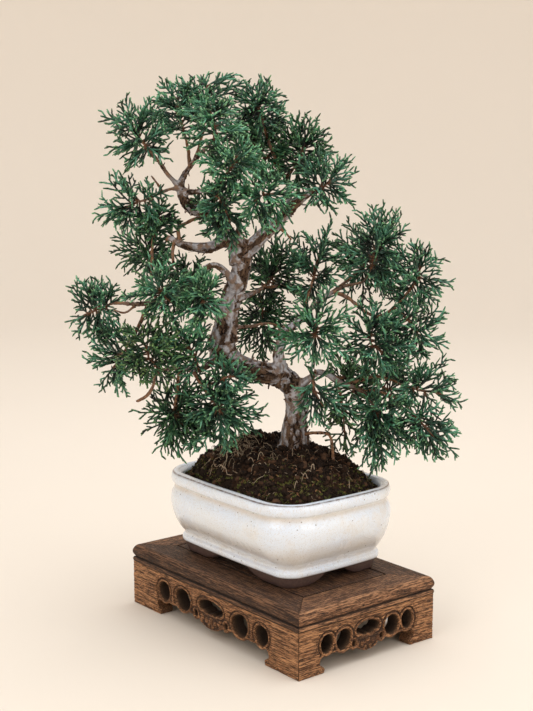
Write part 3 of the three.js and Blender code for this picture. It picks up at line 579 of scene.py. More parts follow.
settle(make_panel(), WOOD_FINISHES["frame_wood_X"], "stand_frame_wood", "stand_panel")
for side, quarter, half_length, half_depth, along in SIDES:
    rail = make_rail(f"rail_{side}", half_length, half_depth, quarter, 40 + quarter)
    settle(rail, WOOD_FINISHES[f"frame_wood_{along}"], "stand_frame_wood", f"stand_rail_{side}")

# %% [markdown]
# ## Carved aprons
# Below the frame hang four carved boards. Each is pierced by a row of round and oval openings with
# raised rims, its lower edge is scalloped under them, and it runs down into a foot at each end.
# An outline could be traced, but it is easier to change when it follows from the openings: each
# small opening gives the skirt one lobe, and the middle one gives it the lowest.

# %% Outlines of the aprons
BOARD_THICK = 13
BOARD_TOP = 40
BOARD_INSET = 1.2
LONG_FOOT, SHORT_FOOT = 44, 28
# Each opening's middle along and up, its half width and half height, its tilt, and how egg-shaped.
LONG_OPENINGS = [(-70, 23.5, 8.6, 8.8, 10, 0.1), (-41, 23.5, 11, 9.6, -8, 0.08), (0, 27, 17.5, 6.6, 0, 0),
                 (41, 23.5, 11.2, 9.8, 14, 0.14), (70, 23.5, 8.6, 8.8, -20, 0.12),
                 (-21.5, 17, 2.6, 3, 0, 0.15), (21.5, 17, 2.6, 3, 0, 0.15)]
SHORT_OPENINGS = [(-45, 24, 6.6, 8, -12, 0.1), (-27, 23.5, 7.7, 9, -16, 0.12), (0, 27.5, 13, 6.3, 0, 0),
                  (27, 23.5, 7.9, 8.8, 10, 0.1), (45, 24, 6.4, 8.2, 8, 0.08),
                  (-15.5, 17, 2.1, 2.8, 0, 0.15), (15.5, 17, 2.1, 2.8, 0, 0.15)]


def opening(x, z, wide, high, tilt, egg):
    """One opening's edge: an oval that is tilted and a little egg-shaped."""
    count = max(16, round(2 * math.pi * (wide + high) / 2 / 0.8))
    t = circle(count)
    across = wide * np.cos(t) * (1 + egg * np.sin(t))
    upward = high * np.sin(t) * (1 + 0.5 * egg * np.cos(t))
    if wide > 1.8 * high:
        upward += 1.5 * ease(0, -0.5, np.sin(t)) * (0.5 + 0.5 * np.cos(across / wide * 11))
    lean = math.radians(tilt)
    turned_x = across * math.cos(lean) - upward * math.sin(lean)
    turned_z = across * math.sin(lean) + upward * math.cos(lean)
    return columns(x + turned_x, z + turned_z)


def skirt_height(x, openings):
    """Height of the lower edge: a lobe under each opening, and the lowest one in the middle."""
    height = np.full_like(x, 14.4)
    lobes = [(cx, cz, wide + 2.8, high + 2.6) for cx, cz, wide, high, _, _ in openings if wide < 12]
    middle = openings[2][2]
    lobes.append((0, 15.5, middle * 0.95, 7.4))
    for cx, cz, wide, high in lobes:
        inside = np.clip(1 - ((x - cx) / wide) ** 2, 0, None)
        height = np.minimum(height, np.where(inside > 0, cz - high * np.sqrt(inside), 99))
    return height


def board_outline(half_length, foot, openings):
    """The outline against the clock: from the left foot along the skirt to the right, and back."""
    end = half_length - BOARD_INSET - FIT
    toe = half_length - foot
    hook = smooth_line([(0, 0, 0, 0), (-0.9, 0, 1.2, 0), (-1.3, 0, 3, 0), (-0.5, 0, 4.9, 0),
                        (1.6, 0, 6, 0), (3.4, 0, 7.6, 0), (3.9, 0, 9.8, 0), (2.9, 0, 12, 0),
                        (0.7, 0, 13.6, 0)], 0.8)[:, [0, 2]]
    left = columns(-toe - hook[:, 0], hook[:, 1])
    x = np.arange(-toe + 0.6, toe, 0.8)
    skirt = columns(x, skirt_height(x, openings))
    right = columns(toe + hook[::-1, 0], hook[::-1, 1])
    foot_low = np.linspace(end, toe, 14)[1:-1]
    side = np.linspace(0, BOARD_TOP, 40)[1:-1]
    top = np.linspace(end, -end, 120)
    return np.vstack([columns(-foot_low, 0), left, skirt, right, columns(foot_low[::-1], 0), [[end, 0]],
                      columns(end, side), columns(top, BOARD_TOP), columns(-end, side[::-1]),
                      [[-end, 0]]])


print("points in a long apron's outline:", len(board_outline(LONG_HALF, LONG_FOOT, LONG_OPENINGS)))

# %% [markdown]
# ### Filling a flat shape
# A flat face with holes could stay one polygon, but then nothing between its edges can be shaped.
# So a grid of points is laid inside the outline and outside the openings, and a Delaunay
# triangulation joins them with the edges. The pot's floor is filled in the same way.

# %% Filling a flat shape
def edge_distance(points, loop):
    """Distance in the flat from each point to a closed line."""
    run = np.roll(loop, -1, axis=0) - loop
    best = np.full(len(points), 1e9)
    for start, step in zip(loop, run):
        gap = points - start
        share = np.clip(gap @ step / (step @ step), 0, 1)
        best = np.minimum(best, ((gap - share[:, None] * step) ** 2).sum(1))
    return np.sqrt(best)


def is_within(points, loop):
    """Whether points lie inside a loop: a line from each to the right crosses it an odd number of times."""
    x, z = points.T
    inside = np.zeros(len(points), bool)
    for (x0, z0), (x1, z1) in zip(loop, np.roll(loop, -1, axis=0)):
        if z0 != z1:
            inside ^= ((z0 > z) != (z1 > z)) & (x < (x1 - x0) * (z - z0) / (z1 - z0) + x0)
    return inside


def is_between(points, loops):
    """Whether points lie inside the first loop and outside all the others."""
    in_hole = np.any([is_within(points, hole) for hole in loops[1:]], axis=0)
    return is_within(points, loops[0]) & ~in_hole


def fill_between(loops, spacing):
    """Points and triangles between an outline and its openings; the loops' points come first."""
    low, high = loops[0].min(0), loops[0].max(0)
    rows = np.arange(low[1] + spacing / 2, high[1], spacing * 0.87)
    columns = np.arange(low[0] + spacing / 2, high[0], spacing)
    grid = np.array([(x + spacing / 2 * (k % 2), z) for k, z in enumerate(rows) for x in columns])
    keep = is_between(grid, loops)
    for loop in loops:
        keep &= edge_distance(grid, loop) > 0.45 * spacing
    points = np.vstack([*loops, grid[keep]])
    edges, first = [], 0
    for loop in loops:
        edges += [(first + i, first + (i + 1) % len(loop)) for i in range(len(loop))]
        first += len(loop)
    flat = [Vector(point) for point in points]
    found = geometry.delaunay_2d_cdt(flat, edges, [], 0, 1e-7)
    origin = [same[0] for same in found[3]]
    triangles = np.array([[origin[i] for i in face] for face in found[2]])
    return points, triangles[is_between(points[triangles].mean(1), loops)]


square = np.array([(0, 0), (4, 0), (4, 4), (0, 4)], float)
print("a square of 4 mm, filled 1 mm apart:", len(fill_between([square], 1)[1]), "triangles")

# %% [markdown]
# ### Carving the boards
# A bump map would leave the carving flat when it is seen from the side, so the face itself is cut.
# Every point of the fine mesh is pushed in by a depth that depends on how near it is to an edge: a
# rim, a groove, a second rim, and then the sunk ground. Below the middle opening is a small cluster
# of pitted bosses.
# The insides of the openings narrow to the back, and they are rougher than the face, and greyer and darker
# deeper in: partly dust, partly painted shade.

# %% Carving the boards
BOARD_MESH = 0.78
BACK_MESH = 4
CARVING = 1.6  # the deepest the face is cut back
BOSSES = [(0, 15.6, 3.2), (-6, 14.6, 2.6), (6, 14.6, 2.6), (-11.5, 16, 2.2), (11.5, 16, 2.2),
          (-2.8, 11, 2), (2.8, 11, 2)]  # place along and up, and radius
# The last number of each step is how much dust and painted shade darken the wall at that depth.
WALL_STEPS = [(0.5, 0.16, 0.1), (1, 0.6, 0.35), (1, 2.5, 0.8), (1, 6.5, 1),
              (1, BOARD_THICK, 1)]  # share of the rounded edge, depth, and greyness


def widened(loop, distance):
    """A loop moved sideways by a distance for each point, to the right of its run."""
    run = unit(np.roll(loop, -1, axis=0) - np.roll(loop, 1, axis=0))
    return loop + columns(run[:, 1], -run[:, 0]) * np.asarray(distance)[:, None]


def carving_depth(points, loops, half_length, seed):
    """How far the face is cut back at each point, in mm."""
    x, z = points.T
    holes = np.min([edge_distance(points, hole) for hole in loops[1:]], axis=0)
    lower = loops[0][(loops[0][:, 1] < 20) & (np.abs(loops[0][:, 0]) < half_length - 20)]
    skirt = edge_distance(points, lower)
    near = np.minimum(holes, skirt * 0.9 + 0.2)
    ripples = 0.72 - 0.66 * np.cos((near - 1.3) * 2 * math.pi / 3.2)
    depth = ripples * ease(6.4, 4.2, holes)
    rim = ease(1.1, 0, near)
    depth = depth * (1 - rim) + 0.5 * rim
    field = ease(38, 34.5, z)
    depth = depth * (0.25 + 0.75 * field)
    middle = ease(14, 11, np.abs(x)) * ease(21.5, 19.5, z) * ease(0.5, 1.6, skirt)
    bosses = np.full(len(points), 1.0)
    for bx, bz, size in BOSSES:
        dome = 1 - ((x - bx) ** 2 + (z - bz) ** 2) / size ** 2
        bosses = np.minimum(bosses, 1.05 - 0.9 * np.sqrt(np.clip(dome, 0, 1)))
    depth = depth * (1 - middle) + bosses * middle
    pits = ease(0.3, 0.62, flat_noise(x / 0.95, z / 0.95, seed + 5))
    depth += 0.55 * pits * ease(5.5, 3, np.minimum(holes, skirt)) * ease(24, 19, z)
    wave = z + 0.9 * flat_noise(x / 26, z / 9, seed)
    ridges = flat_noise(x / 30, wave / 1.05, seed + 1)
    plain = ease(3.5, 6.5, holes) * ease(0.3, 1.5, skirt)
    depth += (0.18 + 0.22 * ridges) * plain + 0.07 * (1 + ridges) * (1 - plain)
    depth += 0.06 * (1 + flat_noise(x / 1.4, z, seed + 2))
    return np.clip(depth, 0, CARVING)


def mitred(x, y, end):
    """x drawn in towards the middle near a board's ends, so that the ends slope at 45 degrees."""
    return x - np.sign(x) * y * np.clip((np.abs(x) - end + 28) / 28, 0, 1)


def make_apron(name, half_length, half_depth, foot, openings, quarter, seed):
    """A board as its carved front face, the walls of its edge and openings, and its plain back."""
    end = half_length - BOARD_INSET - FIT
    loops = [board_outline(half_length, foot, openings)] + [opening(*row)[::-1] for row in openings]
    softness = [np.where((np.abs(loop[:, 0]) > end - 0.1) | (loop[:, 1] > BOARD_TOP - 0.1), 0.0, 0.5)
                for loop in loops]
    inset = [widened(loop, -soft) for loop, soft in zip(loops, softness)]
    face, triangles = fill_between(inset, BOARD_MESH)
    depth = carving_depth(face, loops, half_length, seed)
    board = Heap()
    # The carving's deeper cuts take dark stain and painted shade; the uncut face is worn lighter.
    board.add(columns(mitred(face[:, 0], depth, end), depth, face[:, 1]), [],
              worn=ease(0.4, 0.1, depth) * 0.8, hollow=0, sunk=ease(0.55, 1.25, depth))
    faces = [triangles[:, ::-1]]
    back_loops, back_index, first = [], [], 0
    for k, loop in enumerate(loops):
        previous = first + np.arange(len(loop))
        rim_depth = depth[previous]
        for share, deep, grey in WALL_STEPS:
            line = inset[k] + (loop - inset[k]) * share
            if k:
                line = loop.mean(0) + (line - loop.mean(0)) * (1 - 0.13 * ease(1, BOARD_THICK, deep))
                rough = soft_noise(columns(line / 1.5, deep), seed)
                line = line + 0.25 * rough[:, None] * (0.6 < deep < BOARD_THICK)
            y = np.minimum(rim_depth * ease(3, 0.5, deep) + deep, BOARD_THICK)
            now = board.count + np.arange(len(loop))
            # Dust and painted shade on the walls of the openings, darker deeper in; the board's outer edges
            # get less of it.
            board.add(columns(mitred(line[:, 0], y, end), y, line[:, 1]), [], worn=0,
                      hollow=grey if k else 0.3 * grey, sunk=ease(0.2, 8, deep) if k else 0.2)
            faces.append(np.stack([previous, np.roll(previous, -1), np.roll(now, -1), now], 1))
            previous = now
        first += len(loop)
        back_loops.append(board.points[-1][:, [0, 2]])
        back_index.append(previous)
    back, back_triangles = fill_between(back_loops, BACK_MESH)
    inner = back[first:]
    index = np.concatenate([*back_index, board.count + np.arange(len(inner))])
    # The plain back gets some of the same darkening.
    board.add(columns(inner[:, 0], BOARD_THICK, inner[:, 1]), [], worn=0, hollow=0.2, sunk=0.5)
    faces.append(index[back_triangles])
    board.faces = [face.tolist() for group in faces for face in group]
    front = [0, half_depth - BOARD_INSET, 0]
    board.points = [turned(part - front, quarter) for part in board.points]
    return board.piece(name, sharp=50)


for side, quarter, half_length, half_depth, along in SIDES:
    foot, openings = (LONG_FOOT, LONG_OPENINGS) if along == "X" else (SHORT_FOOT, SHORT_OPENINGS)
    apron = make_apron(f"apron_{side}", half_length, half_depth, foot, openings, quarter, 60 + quarter)
    settle(apron, WOOD_FINISHES[f"apron_wood_{along}"], "stand_apron_wood", f"stand_apron_{side}")

# %% [markdown]
# ## The pot
# The pot is thrown or moulded stoneware: one clay body with a rounded lip, a recess under it, a
# full belly, a foot band, and four bracket feet of bare clay, which carry it. Two drain holes go
# through its floor. Its plan is a rounded rectangle with slightly bowed sides.
# A cube with a bevel would give the plan, but not the bow of its sides, so each level is a ring of
# points of its own.

# %% Rings of the pot
POT_HALF = (91, 70)
POT_BOW = 1.2
POT_CORNERS = [(1, 1), (-1, 1), (-1, -1), (1, -1)]


def pot_ring(half_x, half_y, radius, corner=26, side=22):
    """A rounded rectangle with bowed sides, against the clock."""
    points = []
    for quadrant, (sx, sy) in enumerate(POT_CORNERS):
        for i in range(corner):
            angle = (quadrant + i / corner) * math.pi / 2
            points.append((sx * (half_x - radius) + radius * math.cos(angle),
                           sy * (half_y - radius) + radius * math.sin(angle)))
        along_x = quadrant % 2 == 0
        for i in range(side):
            t = 1 - 2 * i / side
            bow = POT_BOW * (1 - t * t)
            points.append((sx * t * (half_x - radius), sy * (half_y + bow)) if along_x
                          else (sx * (half_x + bow), sy * t * (half_y - radius)))
    return np.array(points)


def at_pot(points):
    """Points round the pot's centre, in mm, as points of the model, in metres."""
    return (np.asarray(points, float) + [*POT_CENTRE, 0]) * MM


print("pot centre, mm:", POT_CENTRE.round(1), "points in a ring:", len(pot_ring(*POT_HALF, 38)))

# %% [markdown]
# ### The pot's floor and feet
# The drain holes are part of the clay, so the floor is filled round them above and below, and a
# short wall joins the two. Each foot is one section that is swept round a corner. It could be a
# block, but the real one's lower edge curves up at both ends, as its ends are lifted here.

# %% The pot's floor and feet
DRAIN_X = 38
DRAIN_RADIUS = 7
FLOOR_MESH = 6
FOOT_LOW, FOOT_TOP, FOOT_LIFT = 56, 67.3, 10.6
FOOT_REACH = {1: 62, -1: 44}  # along the long side, and along the short one
FOOT_PATH = (78, 54.2, 16, 30, 60)  # half length and width, radius, points in a corner and a side
FOOT_CORNER = (73.3, 49.5)
BARE_CLAY = {"tan": 0, "line": 0, "bare": 1}


def drain_loop(x):
    """A drain hole's edge."""
    t = circle(28)
    return columns(x + DRAIN_RADIUS * np.cos(-t), DRAIN_RADIUS * np.sin(-t))


def add_floor(heap, ring_low, ring_high):
    """The underside and the floor with the two drain holes between them."""
    drains = [drain_loop(-DRAIN_X), drain_loop(DRAIN_X)]
    for ring, flip in [(ring_low, -1), (ring_high, 1)]:
        flat, triangles = fill_between([ring[:, :2], *drains], FLOOR_MESH)
        heap.add(at_pot(columns(flat, ring[0, 2])), triangles[:, ::flip].tolist(), **BARE_CLAY)
    for loop in drains:
        rings = np.vstack([columns(loop, ring[0, 2]) for ring in (ring_low, ring_high)])
        heap.add(at_pot(rings), ring_faces(2, len(loop)).tolist(), **BARE_CLAY)


def add_foot(heap, sx, sy):
    """One bracket foot that follows the pot's corner, with a lower edge that curves up at its ends."""
    ring = pot_ring(*FOOT_PATH)
    middle = np.argmin(np.linalg.norm(ring - FOOT_CORNER, axis=1))
    path, share = [], []
    for way in (-1, 1):
        arm = np.roll(ring, -middle, axis=0) if way > 0 else np.roll(ring[::-1], middle + 1, axis=0)
        run = np.concatenate([[0], np.cumsum(np.linalg.norm(np.diff(arm, axis=0), axis=1))])
        kept = run < FOOT_REACH[way]
        path.append(arm[kept][::way])
        share.append((run[kept] / FOOT_REACH[way])[::way])
    path, share = np.vstack([path[0][:-1], path[1]]), np.concatenate([share[0][:-1], share[1]])
    run = unit(np.gradient(path, axis=0))
    outward = columns(run[:, 1], -run[:, 0])
    section = np.array([(0, 67.3), (-0.3, 65), (-1.1, 62), (-2.1, 59.5), (-3.2, 57.2), (-4, 56.3),
                        (-5, 56), (-9, 56), (-13, 56), (-14.6, 56.8), (-15.4, 59), (-16, 67.3)])
    low = FOOT_LOW + FOOT_LIFT * np.clip((share - 0.5) / 0.5, 0, 1) ** 1.8
    rings = []
    for k in range(len(path)):
        flat = path[k] + outward[k] * section[:, :1]
        z = low[k] + (section[:, 1] - FOOT_LOW) * (FOOT_TOP - low[k]) / (FOOT_TOP - FOOT_LOW)
        rings.append(columns(flat * [sx, sy], z))
    faces = stack_faces(len(rings), len(section))
    if sx * sy < 0:
        faces = [face[::-1] for face in faces]
    heap.add(at_pot(np.vstack(rings)), faces, **BARE_CLAY)


print("points round a drain hole:", len(drain_loop(DRAIN_X)))

# %% [markdown]
# ### The pot's wall and glaze
# A stack of rings follows the profile, up the outside, over the lip and down the inside, so the
# wall is a real wall. The profile is smoothed, because a glazed edge is never sharp.
# The glaze's colour depends on height: it is tan in the recess under the lip, low on the belly and just above
# the foot band, runs thin and brown along the lip's edges, and stays white elsewhere on the belly. These
# numbers are stored with the rings.

# %% The pot's wall and glaze
OUTER_PROFILE = [(-13.2, 66), (-11.8, 67.4), (-11.8, 70.6), (-14.4, 72.8), (-14, 75), (-9.6, 79.8),
                 (-4.6, 87), (-0.8, 96), (1.2, 105), (0.6, 111), (-2.8, 117.4), (-3.4, 119.6),
                 (-0.6, 122.2), (0.6, 126), (-0.6, 130), (-3.4, 131.5), (-7, 131.2)]
INNER_PROFILE = [(82.5, 61.5, 128, 31), (82.5, 61.5, 100, 31), (76, 55, 82, 24), (67, 46, 72, 18)]
RING_SPACING = 0.55


def make_pot():
    """The pot's wall as one stack of rings, its floor, and its feet, with the glaze's numbers."""
    profile = [(POT_HALF[0] + 0.9 * out, POT_HALF[1] + 1.12 * out, z, 38 + 1.6 * out)
               for out, z in OUTER_PROFILE]
    levels = smooth_line(profile + INNER_PROFILE, RING_SPACING)
    outer_count = len(smooth_line(profile, RING_SPACING))
    rings = [columns(pot_ring(x, y, radius), z) for x, y, z, radius in levels]
    z = levels[:, 2]
    outside = np.arange(len(levels)) < outer_count
    recess = np.exp(-((z - 118.6) / 2.6) ** 2)
    tan = outside * (0.7 * recess + 0.62 * ease(98, 84, z) * ease(71, 76, z) + 0.5 * ease(68.2, 66.8, z))
    outer_edge = np.exp(-((levels[:, 0] - (POT_HALF[0] - 0.9 * 1.6)) / 0.7) ** 2) * outside
    inner_edge = np.exp(-((levels[:, 0] - 84.2) / 0.4) ** 2)
    line = (z > 129) * (outer_edge + 0.3 * inner_edge)
    bare = outside * ease(66.9, 66.3, z)
    heap = Heap()
    count = len(rings[0])
    points = np.vstack(rings)
    points += 0.14 * soft_noise(points / 26, 81)[:, None] * (np.abs(points[:, 2:] - 66) > 1)
    heap.add(at_pot(points), ring_faces(len(rings), count).tolist(), tan=np.repeat(tan, count),
             line=np.repeat(line, count), bare=np.repeat(bare, count))
    add_floor(heap, rings[0], rings[-1])
    for sx, sy in POT_CORNERS:
        add_foot(heap, sx, sy)
    return heap.piece("glazed_pot", sharp=50)


def glaze_finish():
    """Cream-white glaze: tan in the recess and low on the belly, fine brown specks, and bare purple-brown
    clay.
    """
    finish = Finish("cream_glaze", Coat_Weight=0.7, Coat_Roughness=0.2, Specular_IOR_Level=0.5)
    broad = finish.noise(22, 3)
    cloud = finish.noise(45, 2, shift=(3, 3, 1))
    white = finish.mix(finish.step(broad, 0.3, 0.7), srgb(229, 240, 255), srgb(234, 241, 249))
    stain = finish.step(finish.noise(30, 5, shift=(5, 1, 2), rough=0.65), 0.5, 0.72)
    white = finish.mix(finish.share(stain, 0.34), white, srgb(222, 206, 182))
    tan_colour = finish.mix(cloud, srgb(216, 200, 176), srgb(200, 178, 146))
    amount = finish.math("MULTIPLY", finish.point_value("tan"), finish.between(cloud, 0.3, 0.7, 0.6, 0.8))
    colour = finish.mix(amount, white, tan_colour)
    mottle = finish.step(finish.noise(620, 3), 0.52, 0.68)
    colour = finish.mix(finish.share(mottle, 0.28), colour, srgb(204, 190, 172))
    fine = finish.step(finish.noise(1500, 2), 0.6, 0.7)
    colour = finish.mix(finish.share(fine, 0.5), colour, srgb(164, 140, 114))
    speck = finish.step(finish.cells(150), 0.11, 0.07)
    colour = finish.mix(finish.share(speck, 0.75), colour, srgb(98, 74, 58))
    line = finish.math("MULTIPLY", finish.point_value("line"),
                       finish.between(finish.noise(260, 4), 0.35, 0.6, 0.65, 1.0))
    colour = finish.mix(line, colour, srgb(84, 52, 34))
    clay = finish.mix(finish.noise(400, 5), srgb(66, 48, 44), srgb(104, 82, 76))
    bare = finish.point_value("bare")
    colour = finish.mix(bare, colour, clay)
    rough = finish.math("ADD", finish.between(cloud, 0.3, 0.7, 0.2, 0.32), finish.share(bare, 0.5))
    uneven, pinholes = finish.noise(160, 2), finish.noise(1300, 2)
    pits = finish.math("ADD", finish.share(uneven, 0.7), finish.share(pinholes, 0.1))
    return finish.wear(colour, rough, pits, 0.0006, 0.35)


settle(make_pot(), glaze_finish(), "pot_glaze", "pot")

# %% [markdown]
# ## Drainage screens
# A square of plastic net over each drain hole keeps the soil in. Nothing of it shows from outside,
# but a pot with holes needs it. Each net is a lattice of round-edged strips.

# %% Drainage screens
SCREEN_HALF = 11
SCREEN_LOW, SCREEN_HIGH = 72.3, 73.5


def make_screen(name, x):
    """A net of four strips each way."""
    heap = Heap()
    half, low, high = SCREEN_HALF, SCREEN_LOW, SCREEN_HIGH
    section = np.array([(-1, low + 0.3), (-0.7, low), (0.7, low), (1, low + 0.3), (1, high - 0.3),
                        (0.7, high), (-0.7, high), (-1, high - 0.3)])
    for i in range(4):
        middle = -half + 1 + i * (2 * half - 2) / 3
        along = [[(middle + s, y, z) for s, z in section] for y in (-half, half)]
        across = [[(t, middle + s, z) for s, z in section] for t in (half, -half)]
        for strip in (along, across):
            heap.add(at_pot(np.array(strip).reshape(-1, 3) + [x, 0, 0]), stack_faces(2, 8))
    return heap.piece(name, sharp=40)


def net_finish():
    """Dark plastic, a little dusty."""
    finish = Finish("dark_net")
    tone = finish.noise(600, 4)
    colour = finish.mix(tone, srgb(20, 22, 22), srgb(44, 46, 44))
    return finish.wear(colour, finish.between(tone, 0, 1, 0.4, 0.7), tone, 0.0002, 0.5)


net = net_finish()
for side, x in [("left", -DRAIN_X), ("right", DRAIN_X)]:
    settle(make_screen(f"net_{side}", x), net, "screen_net", f"drainage_screen_{side}")

# %% [markdown]
# ## Soil, roots and moss
# The soil is heaped well above the pot's lip, and its top is a crumbly dome with a hump beside the
# trunk. Fine pale roots lie all over it, some of them lift off in loops, moss grows along the lip,
# and chips of bark and old scales lie about.
# A bump map would leave the heap's outline smooth, so the crumbs are real: the dome's mesh is
# pushed up and down by noise of three sizes.

# %% The soil's form
SOIL_PLAN = (82, 61, 30.5)  # half length, half width, corner radius
SOIL_STEPS = (44, 44)  # points in a corner, and along a side
DOME_RINGS = 112  # between the pot's wall and the dome's middle
SOIL_EDGE = 127.5
SOIL_RISE = 31
SOIL_HALF = (83, 62)
SOIL_HUMP = 8
SOIL_SADDLE = 5
soil_random = np.random.default_rng(12)


def soil_height(x, y):
    """Height of the soil over the pot's own frame: a dome, with a hump at the trunk's left."""
    x, y = np.asarray(x, float), np.asarray(y, float)
    spread = np.hypot(np.abs(x / SOIL_HALF[0]) ** 1.5, np.abs(y / SOIL_HALF[1]) ** 1.5)
    inside = np.clip(1 - spread, 0, 1)
    dome = SOIL_RISE * np.clip(1 - spread ** 2.4, 0, 1)
    hump = SOIL_HUMP * np.exp(-((x + 32) / 20) ** 2 - ((y + 2) / 20) ** 2)
    hump = hump - SOIL_SADDLE * np.exp(-((x + 4) / 12) ** 2 - ((y + 10) / 16) ** 2)
    lumps = np.sin(x * 0.21) * np.cos(y * 0.27 + 1) + 0.7 * np.sin(x * 0.4 + y * 0.33)
    return SOIL_EDGE + dome + hump * inside + lumps * np.clip(3 * inside, 0, 1)


def crumbly(x, y):
    """Soil height with its crumbs, in mm."""
    crumbs = 1.9 * flat_noise(x / 6.5, y / 6.5, 21) + 1.2 * flat_noise(x / 2.8, y / 2.8, 22)
    crumbs += 0.6 * flat_noise(x / 1.3, y / 1.3, 23)
    return soil_height(x, y) + crumbs * 0.8 - 0.4


def add_mound(heap):
    """The soil's body: filled up inside the pot, with a crumbly dome on top."""
    levels = [(66, 45, 74, 17), (75, 54, 82.5, 23), (82, 61, 101, 30.5), (82, 61, 124, 30.5)]
    rings = [columns(pot_ring(x, y, radius, *SOIL_STEPS), z) for x, y, z, radius in levels]
    edge = pot_ring(*SOIL_PLAN, *SOIL_STEPS)
    for share in np.linspace(0.998, 0.03, DOME_RINGS):
        flat = edge * share
        z = np.maximum(crumbly(*flat.T), 124.3) - 2.2 * ease(0.97, 1, share)
        rings.append(columns(flat, z))
    heap.add(at_pot(np.vstack(rings)), stack_faces(len(rings), len(edge)), kind=0, tone=0.5)


def on_soil(count, low=0.0, high=0.97):
    """Random places on the soil, in mm of the pot's frame."""
    angle = soil_random.uniform(0, 2 * math.pi, count)
    share = np.sqrt(soil_random.uniform(low ** 2, high ** 2, count))
    edge = pot_ring(*SOIL_PLAN, *SOIL_STEPS)
    flat = edge[(angle / (2 * math.pi) * len(edge)).astype(int)] * share[:, None]
    return columns(flat, crumbly(*flat.T))


print("soil at the middle, mm above the ground:", crumbly(np.zeros(1), np.zeros(1)).round(1))

# %% [markdown]
# ### Crumbs
# Thousands of small lumps are strewn over the dome. Each could be a copy of one stone, but copies
# are soon seen, so each is a ball of twenty faces that is pressed and dented in its own way.
# The ball's twelve points are the corners of three golden rectangles.

# %% Crumbs
CRUMBS = 3400
GOLDEN = (1 + math.sqrt(5)) / 2
BALL = unit([np.roll((s, t * GOLDEN, 0), k) for k in range(3) for s in (1, -1) for t in (1, -1)])


def ball_faces():
    """The twenty faces of a ball of twelve points: all threes of near neighbours."""
    near = np.linalg.norm(BALL[:, None] - BALL, axis=2) < 1.1
    faces = [(i, j, k) for i in range(12) for j in range(i) for k in range(j)
             if near[i, j] and near[j, k] and near[i, k]]
    return [face if np.linalg.det(BALL[list(face)]) > 0 else face[::-1] for face in faces]


def add_crumbs(heap, count):
    """Small lumps: balls that are pressed and dented each in its own way."""
    faces = ball_faces()
    for place in on_soil(count):
        size = min(soil_random.gamma(1.5, 0.65) + 0.35, 3.4)
        shape = BALL * size * soil_random.uniform(0.6, 1.25, 3)
        shape = shape * soil_random.uniform(0.75, 1.25, (12, 1))
        heap.add(at_pot(shape + place + [0, 0, 0.3 * size]), faces, kind=0, tone=soil_random.uniform(0, 1))


mound = Heap()
add_mound(mound)
add_crumbs(mound, CRUMBS)
print("points of mound and crumbs:", mound.count)

# %% [markdown]
# ### Roots, moss and chips
# Fine roots are tubes along random walks that follow the ground, and at the trunk's left they are
# matted. Moss is tufts of small cones, and chips are bent slabs. Hair curves could stand for roots
# and moss, but plain meshes carry their own values and look the same wherever they are opened.

# %% Roots, moss and chips
ROOTS, MAT_ROOTS, MOSS_TUFTS, CHIPS = 330, 130, 800, 260
ROOT_MAT = (-27, -31)
ROOT_LIMIT = (80, 59)
MOSSY_CORNER = (78, -28)


def add_roots(heap, count):
    """Fine roots: tubes along random walks that keep to the ground, or arch over it."""
    mat = soil_random.normal(0, 1, (MAT_ROOTS, 2)) * [13, 10] + ROOT_MAT
    mat = columns(mat, crumbly(*mat.T))
    for place in np.vstack([on_soil(count, 0.0, 0.93), mat]):
        near_mat = math.exp(-(np.linalg.norm(place[:2] - ROOT_MAT) / 20) ** 2)
        long = soil_random.uniform() < 0.1 + 0.6 * near_mat
        steps = soil_random.integers(11, 24) if long else soil_random.integers(4, 9)
        heading = soil_random.uniform(0, 2 * math.pi)
        turn = soil_random.normal(0, 0.08)
        arch = soil_random.uniform(2, 8) if soil_random.uniform() < 0.2 else soil_random.uniform(0, 1.2)
        radius = soil_random.uniform(0.2, 0.46) if long else soil_random.uniform(0.18, 0.36)
        flat, line = place[:2].copy(), []
        for k in range(steps):
            line.append((*flat, arch * math.sin(math.pi * k / (steps - 1))))
            turn = 0.7 * turn + soil_random.normal(0, 0.16)
            heading += turn
            flat = flat + 1.5 * np.array([math.cos(heading), math.sin(heading)])
        line = np.array(line)
        if (np.abs(line[:, :2]) > ROOT_LIMIT).any():
            continue
        line[:, 2] += crumbly(line[:, 0], line[:, 1]) + radius * 0.6
        line[[0, -1], 2] -= 1
        walk = smooth_line(columns(line, radius * np.linspace(1, 0.55, steps)), 0.9)
        heap.add(at_pot(tube(walk, 5)), stack_faces(len(walk), 5), kind=1,
                 tone=min(soil_random.uniform(0, 1) + 0.35 * near_mat, 1))


def add_moss(heap, count):
    """Tufts of small cones, thickest along the lip and in patches."""
    places = on_soil(count * 4, 0.3, 0.975)
    patch = soft_noise(places * [1 / 15, 1 / 15, 0], 31)
    edge = np.hypot(places[:, 0] / SOIL_PLAN[0], places[:, 1] / SOIL_PLAN[1])
    corner = np.exp(-(np.linalg.norm((places[:, :2] - MOSSY_CORNER) / [14, 34], axis=1)) ** 2)
    wanted = ease(-0.1, 0.5, patch) * 0.15 + 0.7 * ease(0.82, 1.0, edge) + 0.8 * corner
    chosen = places[soil_random.uniform(0, 1, len(places)) < wanted][:count]
    for place in chosen:
        tone = soil_random.uniform(0, 1)
        for _ in range(7):
            lean = unit([*soil_random.normal(0, 0.55, 2), 1])
            length = soil_random.uniform(1.0, 2.4)
            base = place + [*soil_random.normal(0, 0.8, 2), -0.3]
            blade = np.array([[*base, 0.28], [*(base + lean * length * 0.6), 0.24],
                              [*(base + lean * length + [0, 0, 0.15]), 0.05]])
            heap.add(at_pot(tube(blade, 4)), stack_faces(3, 4), kind=2, tone=tone)


